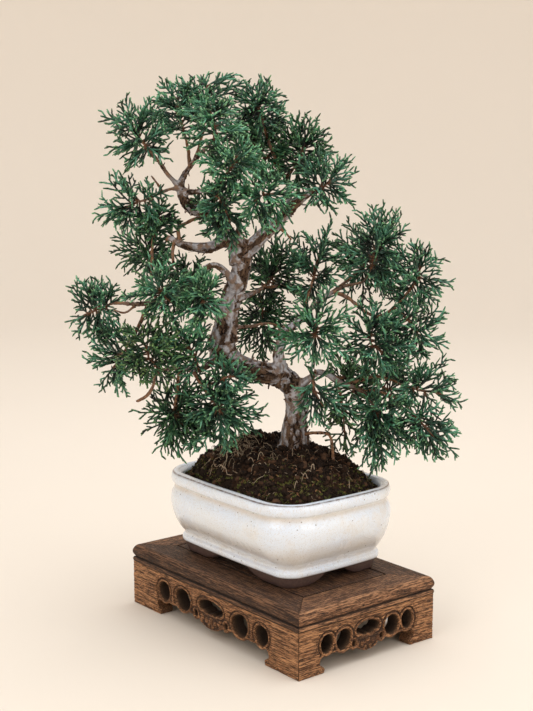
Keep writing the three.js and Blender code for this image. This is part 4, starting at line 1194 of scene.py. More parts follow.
def add_chips(heap, count):
    """Chips of bark and dry scales: small bent slabs."""
    for place in on_soil(count):
        heading = soil_random.uniform(0, 2 * math.pi)
        along = unit([math.cos(heading), math.sin(heading), soil_random.normal(0, 0.35)])
        side = unit(np.cross([0, 0, 1], along))
        up = np.cross(along, side)
        length, width = soil_random.uniform(2.2, 7), soil_random.uniform(0.5, 1.6)
        rings = []
        for t in np.linspace(-1, 1, 5):
            middle = place + along * t * length / 2 + up * (0.7 - 0.5 * t * t)
            half = width / 2 * (1 - 0.6 * t * t + 0.2 * soil_random.uniform())
            rings += [middle + side * half, middle + up * 0.25, middle - side * half, middle - up * 0.15]
        heap.add(at_pot(np.array(rings)), stack_faces(5, 4), kind=3, tone=soil_random.uniform(0, 1))


litter = Heap()
add_roots(litter, ROOTS)
add_moss(litter, MOSS_TUFTS)
add_chips(litter, CHIPS)
print("points of roots, moss and chips:", litter.count)

# %% [markdown]
# ### The soil's finish
# Dome and crumbs are one piece; roots, moss and chips are another. Both could have several
# materials, but one finish that tells the kinds of matter apart by a stored number is simpler.

# %% The soil's finish
def soil_finish():
    """Dark peaty crumbs, pale roots, olive moss and brown chips."""
    finish = Finish("peaty_soil", Specular_IOR_Level=0.15)
    kind = finish.point_value("kind")
    tone = finish.point_value("tone")
    grain = finish.noise(900, 5, rough=0.7)
    earth = finish.mix(finish.step(grain, 0.35, 0.65), srgb(10, 7, 5), srgb(52, 38, 29))
    earth = finish.mix(finish.step(finish.noise(75, 3), 0.5, 0.68), earth, srgb(52, 35, 24))
    earth = finish.mix(finish.step(tone, 0.75, 1.0), earth, srgb(96, 70, 52))
    root = finish.mix(finish.step(tone, 0.1, 1), srgb(98, 72, 55), srgb(212, 192, 166))
    root = finish.mix(finish.step(grain, 0.4, 0.6), root, finish.mix(0.3, root, srgb(80, 56, 42)))
    moss = finish.mix(tone, srgb(54, 58, 28), srgb(120, 122, 64))
    chip = finish.mix(tone, srgb(96, 62, 42), srgb(178, 130, 96))
    colour = finish.mix(finish.step(kind, 0.4, 0.6), earth, root)
    colour = finish.mix(finish.step(kind, 1.4, 1.6), colour, moss)
    colour = finish.mix(finish.step(kind, 2.4, 2.6), colour, chip)
    rough = finish.between(grain, 0.3, 0.7, 0.95, 0.8)
    return finish.wear(colour, rough, grain, 0.0006)


ground = soil_finish()
settle(mound.piece("soil_and_crumbs"), ground, "soil", "soil")
settle(litter.piece("roots_moss_and_chips"), ground, "soil", "soil")

# %% [markdown]
# ## The tree's lines
# The trunk and each limb are lists of [a, d, z, radius], in mm, chosen so that each branch runs where the
# real one runs. Most are the imported model's own lines. A few limbs are thinner here than there, and
# left_main leaves the trunk a little lower. A smooth curve goes through the points, and rings of points are
# set along it.

# %% The tree's lines
TRUNK = [(15, 10, 140, 15), (15, 8, 152, 15), (14, 5, 163, 12.6), (15, 2, 182, 10.4),
         (16, 0, 198, 9.8), (13, -3, 212, 10), (3, -6, 222, 10), (-10, -8, 226, 9.2),
         (-21, -8, 228, 9), (-32, -7, 231, 9.6), (-43, -4, 237, 11), (-49, -2, 247, 11.6),
         (-47, 0, 257, 11), (-45, 2, 269, 10), (-42, 4, 286, 8.9), (-36, 4, 301, 8.6),
         (-32, 2, 316, 8.4), (-32, 0, 330, 8), (-33, 0, 340, 6.5)]

LIMBS = {
    "upper_left": [(-33, 0, 334, 5.5), (-43, -2, 339, 4.9), (-61, -4, 334, 4.8),
        (-75, -6, 335, 4.3), (-85, -8, 338, 3.6), (-93, -10, 343, 2.6), (-96, -10, 340, 1.6)],
    "upper_left_twist": [(-84, -8, 339, 2.6), (-85, -6, 350, 2.2), (-76, 2, 356, 2),
        (-63, 5, 361, 1.6), (-58, 4, 366, 1.2)],
    "upper_left_drop": [(-88, -9, 341, 2), (-90, -12, 331, 1.7), (-89, -16, 319, 1.2)],
    "upper_right": [(-32, 0, 328, 6.5), (-21, 4, 336, 6), (-12, 8, 345, 5.8), (-2, 10, 353, 5.6),
        (6, 10, 362, 5.2), (15, 8, 371, 4.6), (27, 4, 380, 3.6), (37, 0, 384, 1.4)],
    "upper_right_twig": [(-3, 10, 352, 2.2), (5, 15, 346, 1.6), (11, 19, 339, 1.1)],
    "crown_stem": [(-34, 0, 320, 6.5), (-38, 2, 336, 6.2), (-48, 8, 352, 5.8), (-58, 7, 361, 5.2),
        (-66, 4, 364, 5), (-74, 2, 366, 4.9), (-80, 0, 373, 4.8), (-83, 0, 383, 4.6),
        (-86, 0, 390, 3.6)],
    "crown_left": [(-85, 0, 386, 3.3), (-93, -4, 395, 2.4), (-102, -8, 408, 2.1),
        (-112, -10, 420, 1.8), (-117, -10, 427, 1.1)],
    "crown_middle": [(-84, 0, 385, 4), (-82, 2, 392, 3.3), (-73, 0, 405, 2.8),
        (-62, -15, 417, 2.4), (-53, -27, 427, 2), (-53, -28, 436, 1.1)],
    "crown_top": [(-70, -4, 408, 2.4), (-66, 5, 425, 2), (-63, 15, 444, 1.6), (-62, 19, 457, 1.1)],
    "crown_back": [(-75, 0, 402, 2.2), (-77, 6, 416, 1.8), (-80, 8, 430, 1.5), (-84, 8, 444, 1.1)],
    "crown_side": [(-82, 0, 382, 3.4), (-89, -4, 384, 2.4), (-99, -8, 381, 2),
        (-109, -10, 376, 1.7), (-119, -12, 373, 1.1)],
    "crown_spur": [(-98, -8, 381, 1.4), (-102, -9, 388, 1.2), (-107, -10, 395, 0.8)],
    "crown_front": [(-80, 0, 381, 3.4), (-66, -15, 382, 2.8), (-53, -28, 386, 2.2),
        (-44, -37, 397, 1.6), (-40, -40, 403, 1.1)],
    "crown_front_low": [(-57, -24, 384, 1.8), (-49, -30, 377, 1.5), (-45, -31, 371, 1.1)],
    "front_riser": [(-33, 0, 332, 4), (-34, -13, 348, 3), (-31, -27, 362, 2.2),
        (-20, -38, 375, 1.6), (-13, -42, 381, 1.1)],
    "back_riser": [(9, 10, 366, 3.4), (9, 20, 384, 2.8), (0, 28, 402, 2.4), (-9, 28, 424, 1.9),
        (-14, 24, 440, 1.5), (-16, 23, 449, 1.1)],
    "back_left_twig": [(0, 28, 402, 1.9), (-9, 34, 408, 1.5), (-17, 38, 415, 1.1)],
    "back_right_twig": [(6, 24, 392, 2.1), (14, 27, 401, 1.6), (19, 28, 409, 1.1)],
    "left_main": [(-38, 0, 302, 4.6), (-46, -6, 314, 3.7), (-55, -13, 320, 3.4), (-64, -21, 316, 3.2),
        (-74, -30, 305, 3), (-89, -34, 292, 2.8), (-106, -29, 290, 2.5), (-122, -25, 288, 2.1),
        (-138, -16, 288, 1.7), (-156, -10, 281, 1.1)],
    "left_front": [(-66, -23, 314, 2), (-62, -38, 307, 1.6), (-59, -52, 299, 1.1)],
    "left_front_outer": [(-90, -34, 292, 1.9), (-96, -38, 297, 1.4), (-97, -41, 299, 1.1)],
    "left_riser": [(-102, -31, 291, 2), (-107, -18, 303, 1.9), (-108, -5, 322, 1.7),
        (-107, -3, 342, 1.5), (-104, 1, 355, 1.1)],
    "left_back_twig": [(-108, -8, 316, 1.6), (-111, 8, 321, 1.4), (-114, 25, 326, 1.1)],
    "left_drop": [(-110, -28, 289, 2.2), (-118, -26, 270, 1.9), (-127, -24, 254, 1.6),
        (-134, -22, 244, 1.1)],
    "left_spur": [(-121, -26, 287, 1.5), (-130, -26, 281, 1.2), (-139, -25, 283, 0.9)],
    "back_left": [(-44, 4, 281, 4), (-56, 18, 283, 2.8), (-68, 33, 290, 2), (-79, 42, 297, 1.1)],
    "low_left": [(-46, -2, 245, 5), (-58, -14, 236, 3.6), (-68, -28, 232, 3), (-80, -38, 235, 2.6),
        (-92, -42, 236, 2.3), (-103, -41, 231, 2.1), (-106, -38, 220, 2), (-112, -36, 211, 1.9),
        (-121, -34, 206, 1.8)],
    "low_left_pad": [(-98, -42, 234, 1.6), (-104, -46, 240, 1.3), (-108, -48, 245, 1.1)],
    "low_left_inner": [(-68, -28, 232, 1.8), (-69, -36, 240, 1.5), (-70, -41, 247, 1.1)],
    "hang_left": [(-84, -39, 235, 1.9), (-86, -31, 216, 1.6), (-89, -22, 199, 1.4),
        (-91, -20, 188, 1.1)],
    "hang_right": [(-73, -32, 233, 1.9), (-65, -36, 220, 1.6), (-55, -38, 208, 1.4),
        (-50, -38, 200, 1.1)],
    "hang_tuft": [(-65, -36, 220, 1.4), (-53, -44, 225, 1.2), (-43, -49, 230, 1.1)],
    "stub": [(3, -6, 218, 7.2), (1, -8, 234, 5.6), (0, -8, 243, 4.9), (2, -6, 252, 4.7),
        (5, -5, 261, 4.2), (8, -4, 264, 3)],
    "middle_right": [(-44, 2, 265, 3.4), (-38, 4, 264, 2.5), (-26, 8, 264, 2.1), (-12, 12, 266, 2),
        (-3, 13, 265, 1.8), (1, 9, 262, 1.7), (1, 3, 256, 1.6)],
    "back_right": [(-34, 4, 290, 3.6), (-26, 20, 290, 2.8), (-14, 32, 295, 2.3), (-6, 42, 301, 1.1)],
    "back_right_out": [(-14, 32, 295, 1.8), (4, 40, 296, 1.5), (24, 45, 293, 0.9)],
    "back_right_low": [(-18, 29, 293, 1.8), (-15, 40, 280, 1.5), (-14, 47, 268, 1.1)],
    "right_riser": [(4, -5, 258, 4.4), (19, 1, 272, 3.4), (36, 6, 287, 2.8), (48, 6, 295, 2.5),
        (58, 6, 300, 2.2), (72, 7, 303, 1.9), (79, 8, 311, 1.6), (82, 10, 326, 1.1)],
    "right_top_twig": [(22, 3, 275, 2), (26, 12, 292, 1.6), (32, 19, 309, 1.1)],
    "right_middle": [(48, 6, 295, 2.3), (60, 2, 290, 2.1), (73, -5, 280, 2), (84, -8, 275, 1.9),
        (93, -6, 278, 1.7), (103, -4, 286, 1.5), (112, -2, 296, 1.4), (120, 0, 307, 1.1)],
    "right_inner": [(74, -6, 279, 1.6), (76, -14, 266, 1.4), (79, -20, 253, 1.1)],
    "right_outer": [(99, -5, 282, 1.5), (108, -7, 275, 1.3), (117, -8, 266, 1.1)],
    "right_back": [(40, 7, 290, 2.2), (55, 24, 298, 1.8), (72, 42, 310, 1.4), (81, 50, 317, 1.1)],
    "front_middle": [(34, 5, 285, 2.2), (33, -10, 281, 1.8), (32, -27, 272, 1.5),
        (31, -39, 266, 1.1)],
    "low_right": [(14, -3, 210, 5), (27, -7, 221, 3.8), (34, -10, 227, 3.4), (43, -12, 225, 3.1),
        (50, -12, 220, 2.9), (58, -14, 217, 2.5), (69, -16, 213, 2.1), (78, -22, 206, 1.7),
        (84, -32, 195, 1.1)],
    "low_right_upper": [(56, -13, 217, 1.9), (69, -13, 220, 1.7), (84, -14, 224, 1.5),
        (97, -16, 221, 1.4), (110, -18, 216, 1.3), (122, -21, 213, 1.1)],
    "low_right_outer": [(69, -16, 213, 1.7), (84, -19, 212, 1.5), (98, -22, 208, 1.4),
        (113, -26, 196, 1.3), (124, -29, 184, 1.1)],
    "low_right_back": [(46, -12, 223, 2), (62, 4, 219, 1.7), (82, 20, 212, 1.4), (99, 28, 204, 1.1)],
    "low_right_inner": [(60, -14, 216, 1.5), (64, -6, 212, 1.3), (66, 0, 208, 1.1)],
    "low_thin": [(50, -12, 220, 1.5), (54, -12, 206, 1.3), (56, -12, 192, 1.1)],
    "front_fan": [(32, -9, 226, 1.7), (31, -24, 231, 1.3), (29, -38, 225, 1.1), (29, -43, 218, 0.9)],
    "root_loop": [(14, 4, 164, 2.6), (24, -4, 171, 1.9), (34, -13, 174, 1.8), (43, -19, 174, 1.7),
        (46, -22, 166, 1.7), (47, -24, 153, 1.7), (47, -24, 144, 1.9)],
}

print("limbs:", len(LIMBS), "trunk, mm:", round(len(smooth_line(TRUNK, 1.0))))

# %% [markdown]
# ## Bark and branches
# The thick wood is one grown body, so its limbs have to flow into each other. Plain tubes would
# show hard creases where they meet. They are built as tubes, melted together by a voxel remesh,
# and smoothed, which leaves rounded forks as in grown wood.

# %% Melted wood
THICK = 3.0
THICK_LIMBS = [limb for limb in LIMBS.values() if limb[0][3] >= THICK]
VOXEL = 0.84
FLARE = [(205, 12), (255, 9), (310, 10), (15, 8), (100, 9), (160, 10)]  # angle, reach of a root's foot


def swollen(points, spacing):
    """A limb's samples, with a collar where it leaves its parent."""
    line = smooth_line(points, spacing)
    travelled = np.arange(len(line)) * spacing
    line[:, 3] *= 0.76 + 0.24 * ease(2.5, 6, line[:, 3])
    line[:, 3] *= 1 + 0.35 * np.exp(-travelled / (1.2 * line[0, 3]))
    return line


def buttress(angle, reach):
    """A root that leaves the trunk's foot and dives into the soil."""
    x, y = math.cos(math.radians(angle)), math.sin(math.radians(angle))
    path = [(4, 176, 4), (6.5, 168, 4.8), (10, 160, 4.4), (12 + 0.5 * reach, 153, 3),
            (15 + 0.7 * reach, 146, 2)]
    return [(14.5 + x * out, 6 + y * out, z, radius) for out, z, radius in path]


def melted_wood():
    """The trunk and the thick limbs as one smooth mesh, in mm of the tree's frame."""
    heap = Heap()
    lines = [smooth_line(TRUNK, 3.0)]
    lines += [swollen(limb, 3.0) for limb in THICK_LIMBS]
    lines += [smooth_line(buttress(*row), 2.0) for row in FLARE]
    for line in lines:
        heap.add(tube(line, 20) * MM, stack_faces(len(line), 20))
    rough = heap.piece("rough_wood")
    rough.modifiers.new("melt", "REMESH").voxel_size = VOXEL * MM
    soften = rough.modifiers.new("soften", "SMOOTH")
    soften.iterations = 5
    soften.factor = 0.6
    melted = bpy.data.meshes.new_from_object(
        rough.evaluated_get(bpy.context.evaluated_depsgraph_get()))
    points, normals = np.empty((2, len(melted.vertices) * 3), np.float32)
    melted.vertices.foreach_get("co", points)
    melted.vertices.foreach_get("normal", normals)
    faces = [list(face.vertices) for face in melted.polygons]
    bpy.data.objects.remove(rough)
    return points.reshape(-1, 3) / MM, normals.reshape(-1, 3), faces


wood_points, wood_normals, wood_faces = melted_wood()
print("thick limbs:", len(THICK_LIMBS), "points of the melted wood:", len(wood_points))

# %% [markdown]
# ### Bark
# Old juniper bark peels in long strips. Between them the wood is smooth and pale, almost lilac.
# Both are made from the same numbers: noise that is stretched along each limb lifts plates and cuts
# fissures into the mesh, and the plates' mask goes with the mesh for the finish to read. A picture
# of bark would need the limbs unrolled, which forks don't allow without seams.

# %% Bark's relief
def along_nearest_limb(points):
    """Each point's place on its nearest thick limb: [across, up, travelled] and the radius there."""
    rows, shift = [], 0
    for limb in [TRUNK, *THICK_LIMBS]:
        line = smooth_line(limb, 1.0)
        _, across, up = frames(line)
        rows.append(columns(line, across, up, np.arange(len(line)) + shift))
        shift += len(line) + 37
    rows = np.vstack(rows)
    tree = finder(rows)
    near = rows[[tree.find(point)[1] for point in points]]
    offset = points - near[:, :3]
    u = (offset * near[:, 4:7]).sum(1)
    v = (offset * near[:, 7:10]).sum(1)
    return columns(u, v, near[:, 10]), near[:, 3]


def bark_relief(place, radius, hanging):
    """Bark height in mm, how loose and brown it is, how cracked, and its streaks."""
    patches = soft_noise(place / [6, 6, 15], 3) + 0.6 * soft_noise(place / [2.6, 2.6, 5], 4)
    # Undersides get more loose brown bark and tops more smooth pale grey: partly the bark's own, partly
    # painted shade below and painted light above.
    loose = ease(-0.35, 0.5, patches + 0.35 * hanging)
    plates = soft_noise(place / [2.6, 2.6, 7], 7) + 0.6 * soft_noise(place / [1.3, 1.3, 3], 8)
    raised = ease(-0.1, 0.2, plates)
    seam = soft_noise(place / [4.2, 4.2, 19], 11) + 0.35 * soft_noise(place / [1.4, 1.4, 4], 12)
    crack = (1 - ease(0.0, 0.11, np.abs(seam))) * (0.3 + 0.7 * loose)
    hair = 1 - ease(0.0, 0.09, np.abs(soft_noise(place / [2.3, 2.3, 11], 25)))
    ragged = soft_noise(place / [1.1, 1.1, 2.0], 15)
    height = loose * (1.25 * raised + 1.05 * ragged - 0.45) - 1.0 * crack
    height += 0.9 * soft_noise(place / [5, 5, 8], 19) + 0.12 * ragged
    streak = 0.5 + 0.4 * soft_noise(place / [1.8, 1.8, 8], 17) + 0.25 * ragged
    height -= 0.35 * hair
    crack = np.clip(crack + 0.55 * hair + loose * (1 - raised) * 0.5, 0, 1)
    return height * np.clip(radius / 9, 0.4, 1), loose, crack, streak


bark_place, girth = along_nearest_limb(wood_points)
# Facing down counts towards loose brown bark: partly the bark's own, partly painted shade.
relief, loose, crack, streak = bark_relief(bark_place, girth, -wood_normals[:, 2])
print("share of the thick wood under loose bark:", (loose > 0.5).mean().round(2))

# %% [markdown]
# ### Twigs, slivers and stubs
# Limbs too thin for the remesh stay tubes of their own. Slivers of bark that curl off are small
# closed blades, and short stubs are left where twigs broke off. They could be carved out of the
# trunk, but so fine a form is lost in the melting, so they are added afterwards.

# %% Twigs, slivers and stubs
SLIVERS, STUBS = 420, 80
STUB_GIRTH = 2.6
bark_random = np.random.default_rng(5)


def add_twigs(heap):
    """Thin limbs as tubes, with the small swellings that old leaf scars leave."""
    for k, limb in enumerate(LIMBS.values()):
        if limb[0][3] >= THICK:
            continue
        line = swollen(limb, 1.1)
        knots = soft_noise(columns(np.arange(len(line)) * 0.32, k, line[:, 3]), 23)
        line[:, 3] *= 1 + 0.2 * knots
        line[:, :3] += 0.35 * np.stack([soft_noise(line[:, :3] / 5, 29 + i) for i in range(3)], 1)
        points = tube(line, 10)
        points += 0.1 * soft_noise(points / 0.9, 31)[:, None]
        spots = ease(0.1, 0.5, soft_noise(points / 2.5, 33))
        dark = ease(0.3, 0.6, soft_noise(points / 1.3, 35))
        heap.add(points, stack_faces(len(line), 10), loose=spots, crack=dark, streak=0.5,
                 girth=np.repeat(line[:, 3], 10))


def add_slivers(heap, points, normals, loose, count):
    """Loose strips of bark: thin blades that lie along the limb and lift at one end."""
    chosen = bark_random.choice(np.flatnonzero(loose > 0.55), count, replace=False)
    for k in chosen:
        normal = normals[k]
        drift = bark_random.normal(0, 1, 3)
        near = np.argsort(np.linalg.norm(points[chosen] - points[k], axis=1))[1]
        along = points[chosen[near]] - points[k] + 2 * np.array([0, 0, 1]) + 0.4 * drift
        along = unit(along - normal * (along @ normal))
        side = np.cross(normal, along)
        length = bark_random.uniform(2.5, 8)
        width = bark_random.uniform(0.5, 1.3)
        lift = bark_random.uniform(0.4, 1.5)
        rings = []
        for t in np.linspace(0, 1, 5):
            middle = points[k] + along * length * (t - 0.3) + normal * (lift * t ** 2 - 0.15)
            half = width * (0.25 + 0.75 * math.sin(math.pi * (0.15 + 0.7 * t))) / 2
            bow = 0.22 * width
            rings += [middle - side * half + normal * bow, middle - normal * 0.12,
                      middle + side * half + normal * bow, middle + normal * 0.2]
        heap.add(np.array(rings), stack_faces(5, 4), loose=1, crack=0, girth=6,
                 streak=bark_random.uniform(0, 1))


def add_stubs(heap, points, normals, count):
    """Short dead stubs and spurs that were cut or broken off long ago."""
    for k in bark_random.choice(len(points), count, replace=False):
        lean = unit(normals[k] + bark_random.normal(0, 0.35, 3))
        length, radius = bark_random.uniform(2, 5.5), bark_random.uniform(0.45, 1.0)
        line = [[*(points[k] + lean * length * t + bark_random.normal(0, 0.15, 3)),
                 radius * (1.3 - 0.5 * t)] for t in np.linspace(-0.3, 1, 6)]
        heap.add(tube(np.array(line), 8), stack_faces(6, 8), loose=bark_random.uniform(0.2, 1),
                 crack=0.1, streak=bark_random.uniform(0, 1), girth=2.6)


wood = Heap()
wood.add(wood_points + wood_normals * relief[:, None], wood_faces, loose=loose, crack=crack,
         streak=streak, girth=girth)
add_slivers(wood, wood_points, wood_normals, loose, SLIVERS)
add_stubs(wood, wood_points[girth > STUB_GIRTH], wood_normals[girth > STUB_GIRTH], STUBS)
add_twigs(wood)
wood.points = [from_tree(part) for part in wood.points]
print("points of all the wood:", wood.count)

# %% [markdown]
# ### The bark's finish
# Thick wood is grey where it is smooth and brown where it peels, and young twigs are orange-brown.
# One finish does all three: the stored girth of the limb says where young wood turns into old.

# %% The bark's finish
def bark_finish():
    """Grey smooth bark, brown peeling plates with dark cracks, and orange-brown young twigs."""
    finish = Finish("juniper_bark", Specular_IOR_Level=0.2)
    girth = finish.point_value("girth")
    loose = finish.point_value("loose")
    streak = finish.point_value("streak")
    fine = finish.noise(900, 4)
    coarse = finish.noise(210, 4, shift=(3, 1, 2))
    smooth = finish.mix(finish.step(streak, 0.2, 0.8), srgb(128, 124, 126), srgb(198, 196, 202))
    smooth = finish.mix(finish.step(coarse, 0.45, 0.62), smooth, srgb(138, 116, 102))
    flaky = finish.mix(finish.step(streak, 0.1, 0.9), srgb(62, 45, 35), srgb(126, 100, 80))
    flaky = finish.mix(finish.step(fine, 0.3, 0.7), finish.mix(0.35, flaky, srgb(40, 28, 22)), flaky)
    frayed = finish.math("ADD", loose, finish.math("MULTIPLY", finish.math("SUBTRACT", fine, 0.5), 1.6))
    old = finish.mix(finish.step(frayed, 0.25, 0.8), smooth, flaky)
    young = finish.mix(finish.step(coarse, 0.35, 0.65), srgb(98, 70, 52), srgb(154, 116, 88))
    young = finish.mix(finish.step(loose, 0.4, 0.9), young, srgb(128, 104, 90))
    colour = finish.mix(finish.step(girth, 1.7, 3.3), young, old)
    colour = finish.mix(finish.step(finish.point_value("crack"), 0.3, 0.85), colour, srgb(38, 28, 23))
    rough = finish.between(fine, 0, 1, 0.7, 0.95)
    height = finish.math("ADD", fine, finish.share(coarse, 0.8))
    return finish.wear(colour, rough, height, 0.0005)


settle(wood.piece("bark_and_branches"), bark_finish(), "bark", "tree_wood")

# %% [markdown]
# ## Foliage
# Adult juniper leaves are scales that lie flat on thin green shoots, so the foliage is made of
# cords, not of blades. Each spray grows from the end of one twig.
# Spheres with a leaf texture would be quick, but they would look like lumps from near and from
# the side. Every cord is therefore a thin tube.
# A spray's row says its name, the twig that carries it, its middle, the imported model's half size,
# how many times that size it is, how many times the usual number of leaders it has, and its green.
# Five sprays trail: their leaders start near the twig, and their side shoots are longer and sparser.

# %% The sprays
# The bright green is painted light, for sprays at the front; the deep green is painted shade, for sprays at
# the back, inside and below.
GREEN, PAINTED_LIT_GREEN, PAINTED_SHADE_GREEN, OLIVE = "foliage_green", "foliage_bright", "foliage_deep", "foliage_olive"
TRAILING = {"front_fan", "hanging_left", "hanging_right", "low_right_inner", "low_right_tip"}
SPRAYS = [
    ("top_left", "crown_left", (-118, -10, 431), (29, 24, 29), 0.92, 1.2, GREEN),
    ("top_back", "crown_back", (-84, 8, 452), (23, 22, 21), 1, 1, GREEN),
    ("top_crown", "crown_top", (-62, 20, 466), (24, 22, 18), 1.1, 1, GREEN),
    ("top_front", "crown_middle", (-56, -28, 440), (26, 22, 22), 1, 1, PAINTED_LIT_GREEN),
    ("top_right", "back_riser", (-16, 22, 450), (24, 24, 23), 1, 1.2, GREEN),
    ("upper_back", "back_left_twig", (-17, 40, 418), (26, 26, 26), 1.2, 1.5, PAINTED_SHADE_GREEN),
    ("upper_right", "back_right_twig", (20, 30, 413), (23, 22, 25), 1.15, 1.4, PAINTED_SHADE_GREEN),
    ("right_tip", "upper_right", (35, 0, 388), (32, 26, 26), 0.92, 1, GREEN),
    ("front_upper", "crown_front", (-39, -42, 406), (25, 20, 21), 1, 1.15, PAINTED_LIT_GREEN),
    ("front_middle_left", "crown_front_low", (-45, -32, 366), (21, 20, 26), 1, 1, GREEN),
    ("front_middle_right", "front_riser", (-12, -44, 377), (24, 20, 24), 1, 1, PAINTED_LIT_GREEN),
    ("middle_back", "upper_left_twist", (-57, 6, 372), (14, 16, 13), 1.25, 1, PAINTED_SHADE_GREEN),
    ("left_upper", "crown_side", (-124, -12, 370), (24, 20, 23), 1, 1, GREEN),
    ("left_upper_low", "left_riser", (-103, 2, 357), (18, 18, 18), 1, 1, PAINTED_SHADE_GREEN),
    ("left_back", "left_back_twig", (-114, 28, 327), (21, 20, 21), 1.15, 1, PAINTED_SHADE_GREEN),
    ("left_front_outer", "left_front_outer", (-97, -42, 299), (27, 22, 27), 1, 1, PAINTED_LIT_GREEN),
    ("left_front_inner", "left_front", (-66, -56, 296), (22, 20, 29), 0.88, 1.15, PAINTED_LIT_GREEN),
    ("far_left", "left_main", (-159, -10, 280), (22, 20, 25), 1, 1.3, GREEN),
    ("left_low", "left_drop", (-135, -22, 242), (26, 24, 28), 1, 1.15, GREEN),
    ("left_middle_low", "low_left_pad", (-106, -49, 252), (23, 20, 24), 1.12, 1, OLIVE),
    ("left_inner_low", "low_left_inner", (-79, -43, 254), (23, 20, 23), 1, 1, GREEN),
    ("back_left", "back_left", (-82, 45, 298), (27, 24, 25), 1, 1, PAINTED_SHADE_GREEN),
    ("hanging_left", "hang_left", (-79, -20, 193), (28, 20, 31), 1.2, 1.55, PAINTED_SHADE_GREEN),
    ("hanging_right", "hang_right", (-52, -38, 205), (25, 20, 29), 1.2, 1.55, GREEN),
    ("hanging_tuft", "hang_tuft", (-40, -50, 229), (15, 13, 19), 1, 0.5, GREEN),
    ("back_upper", "back_right", (-6, 46, 305), (20, 20, 25), 1.4, 1.3, PAINTED_SHADE_GREEN),
    ("back_lower", "back_right_low", (-14, 49, 262), (20, 18, 23), 1.3, 1.3, PAINTED_SHADE_GREEN),
    ("right_top_inner", "right_top_twig", (33, 21, 316), (23, 22, 28), 1.2, 1, GREEN),
    ("right_top", "right_riser", (85, 10, 324), (25, 24, 29), 1.15, 1.25, GREEN),
    ("right_top_outer", "right_middle", (117, 0, 309), (25, 22, 27), 1.12, 1, GREEN),
    ("right_back", "right_back", (86, 54, 320), (25, 22, 26), 1.45, 1.5, PAINTED_SHADE_GREEN),
    ("front_middle", "front_middle", (30, -43, 269), (28, 21, 30), 1.08, 1, PAINTED_LIT_GREEN),
    ("right_inner", "right_inner", (85, -22, 256), (23, 20, 24), 1.3, 1.25, GREEN),
    ("right_outer", "right_outer", (114, -8, 264), (26, 22, 29), 1.08, 1, GREEN),
    ("front_fan", "front_fan", (38, -45, 209), (31, 15, 28), 0.82, 0.45, GREEN),
    ("low_right_inner", "low_right", (87, -38, 186), (25, 19, 34), 1, 1.15, GREEN),
    ("low_right_outer", "low_right_upper", (128, -22, 213), (29, 21, 25), 1, 1, GREEN),
    ("low_right_tip", "low_right_outer", (128, -30, 179), (24, 20, 22), 1, 1, GREEN),
    ("low_right_back", "low_right_back", (94, 30, 208), (26, 20, 25), 1.25, 1, PAINTED_SHADE_GREEN),
    ("low_back_twigs", "low_right_inner", (65, 4, 216), (15, 13, 20), 1.4, 0.8, OLIVE),
    ("low_thin", "low_thin", (57, -12, 177), (18, 13, 26), 1, 0.5, OLIVE),
]
print("sprays:", len(SPRAYS), "of them dark:", sum(row[-1] == PAINTED_SHADE_GREEN for row in SPRAYS))

# %% [markdown]
# ### Room for the shoots
# A shoot must not grow through a branch, into the soil or against the pot, and nothing may stick
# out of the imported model's box. Testing whole tubes against all the others would be slow, so only
# the end of a shoot is tested, against samples of the wood's lines and the soil's height.

# %% Room for the shoots
TWIG_NEAR, WOOD_GAP = 6, 0.9
NEAR_POT, LIP_TOP = 170, 134
WOOD_LINES = np.vstack([smooth_line(limb, 2.0) for limb in [TRUNK, *LIMBS.values()]])
WOOD_FINDER = finder(WOOD_LINES)
BOX_MIDDLE = np.array(cad_low + cad_high) / 2
BOX_HALF = np.array(cad_high - cad_low) / 2 - 0.001


def is_free(point, twig_end):
    """Whether a shoot may end here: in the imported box, clear of wood, soil and pot."""
    if (np.abs(from_tree(point[None])[0] - BOX_MIDDLE) > BOX_HALF).any():
        return False
    if np.linalg.norm(point - twig_end) > TWIG_NEAR:
        _, index, distance = WOOD_FINDER.find(point)
        if distance < WOOD_LINES[index, 3] + WOOD_GAP:
            return False
    if point[2] < NEAR_POT:
        x, y, _ = to_pot(point[None])[0]
        if abs(x) < POT_HALF[0] + 7 and abs(y) < POT_HALF[1] + 8:
            return point[2] > max(LIP_TOP, float(soil_height(x, y)) + 3)
    return True


print("samples of the wood's lines:", len(WOOD_LINES))

# %% [markdown]
# ### How a spray grows
# Woody leaders fan out from the twig to fill the spray's outline, green side shoots leave them left
# and right, and short forks leave the side shoots. The youngest ends are brighter and more yellow.
# A tube's rings are a little wider and narrower in turn, as the overlapping scales make them, and it
# ends in a blunt tip. Cords could be made one by one, but those with the same number of rings are
# worked out together, which keeps it fast.

# %% How a spray grows
SCALE = 1.7  # distance between rings, in mm
LEADERS = 28
REACH = 1.2  # how far a spray reaches past its middle on average, in half sizes
SHOOTS = (3.9, 14.5, 7.0, 0.8, 0.12)  # every, longest, shortest, thickness, first place on the leader
FORKS = (4.3, 7.4, 5.0, 0.75, 0.32)


def even_direction(i, count, turn):
    """Direction i of count over a ball, along a golden spiral."""
    z = 1 - 2 * (i + 0.5) / count
    angle = i * math.pi * (3 - math.sqrt(5)) + turn
    flat = math.sqrt(1 - z * z)
    return np.array([flat * math.cos(angle), flat * math.sin(angle), z])


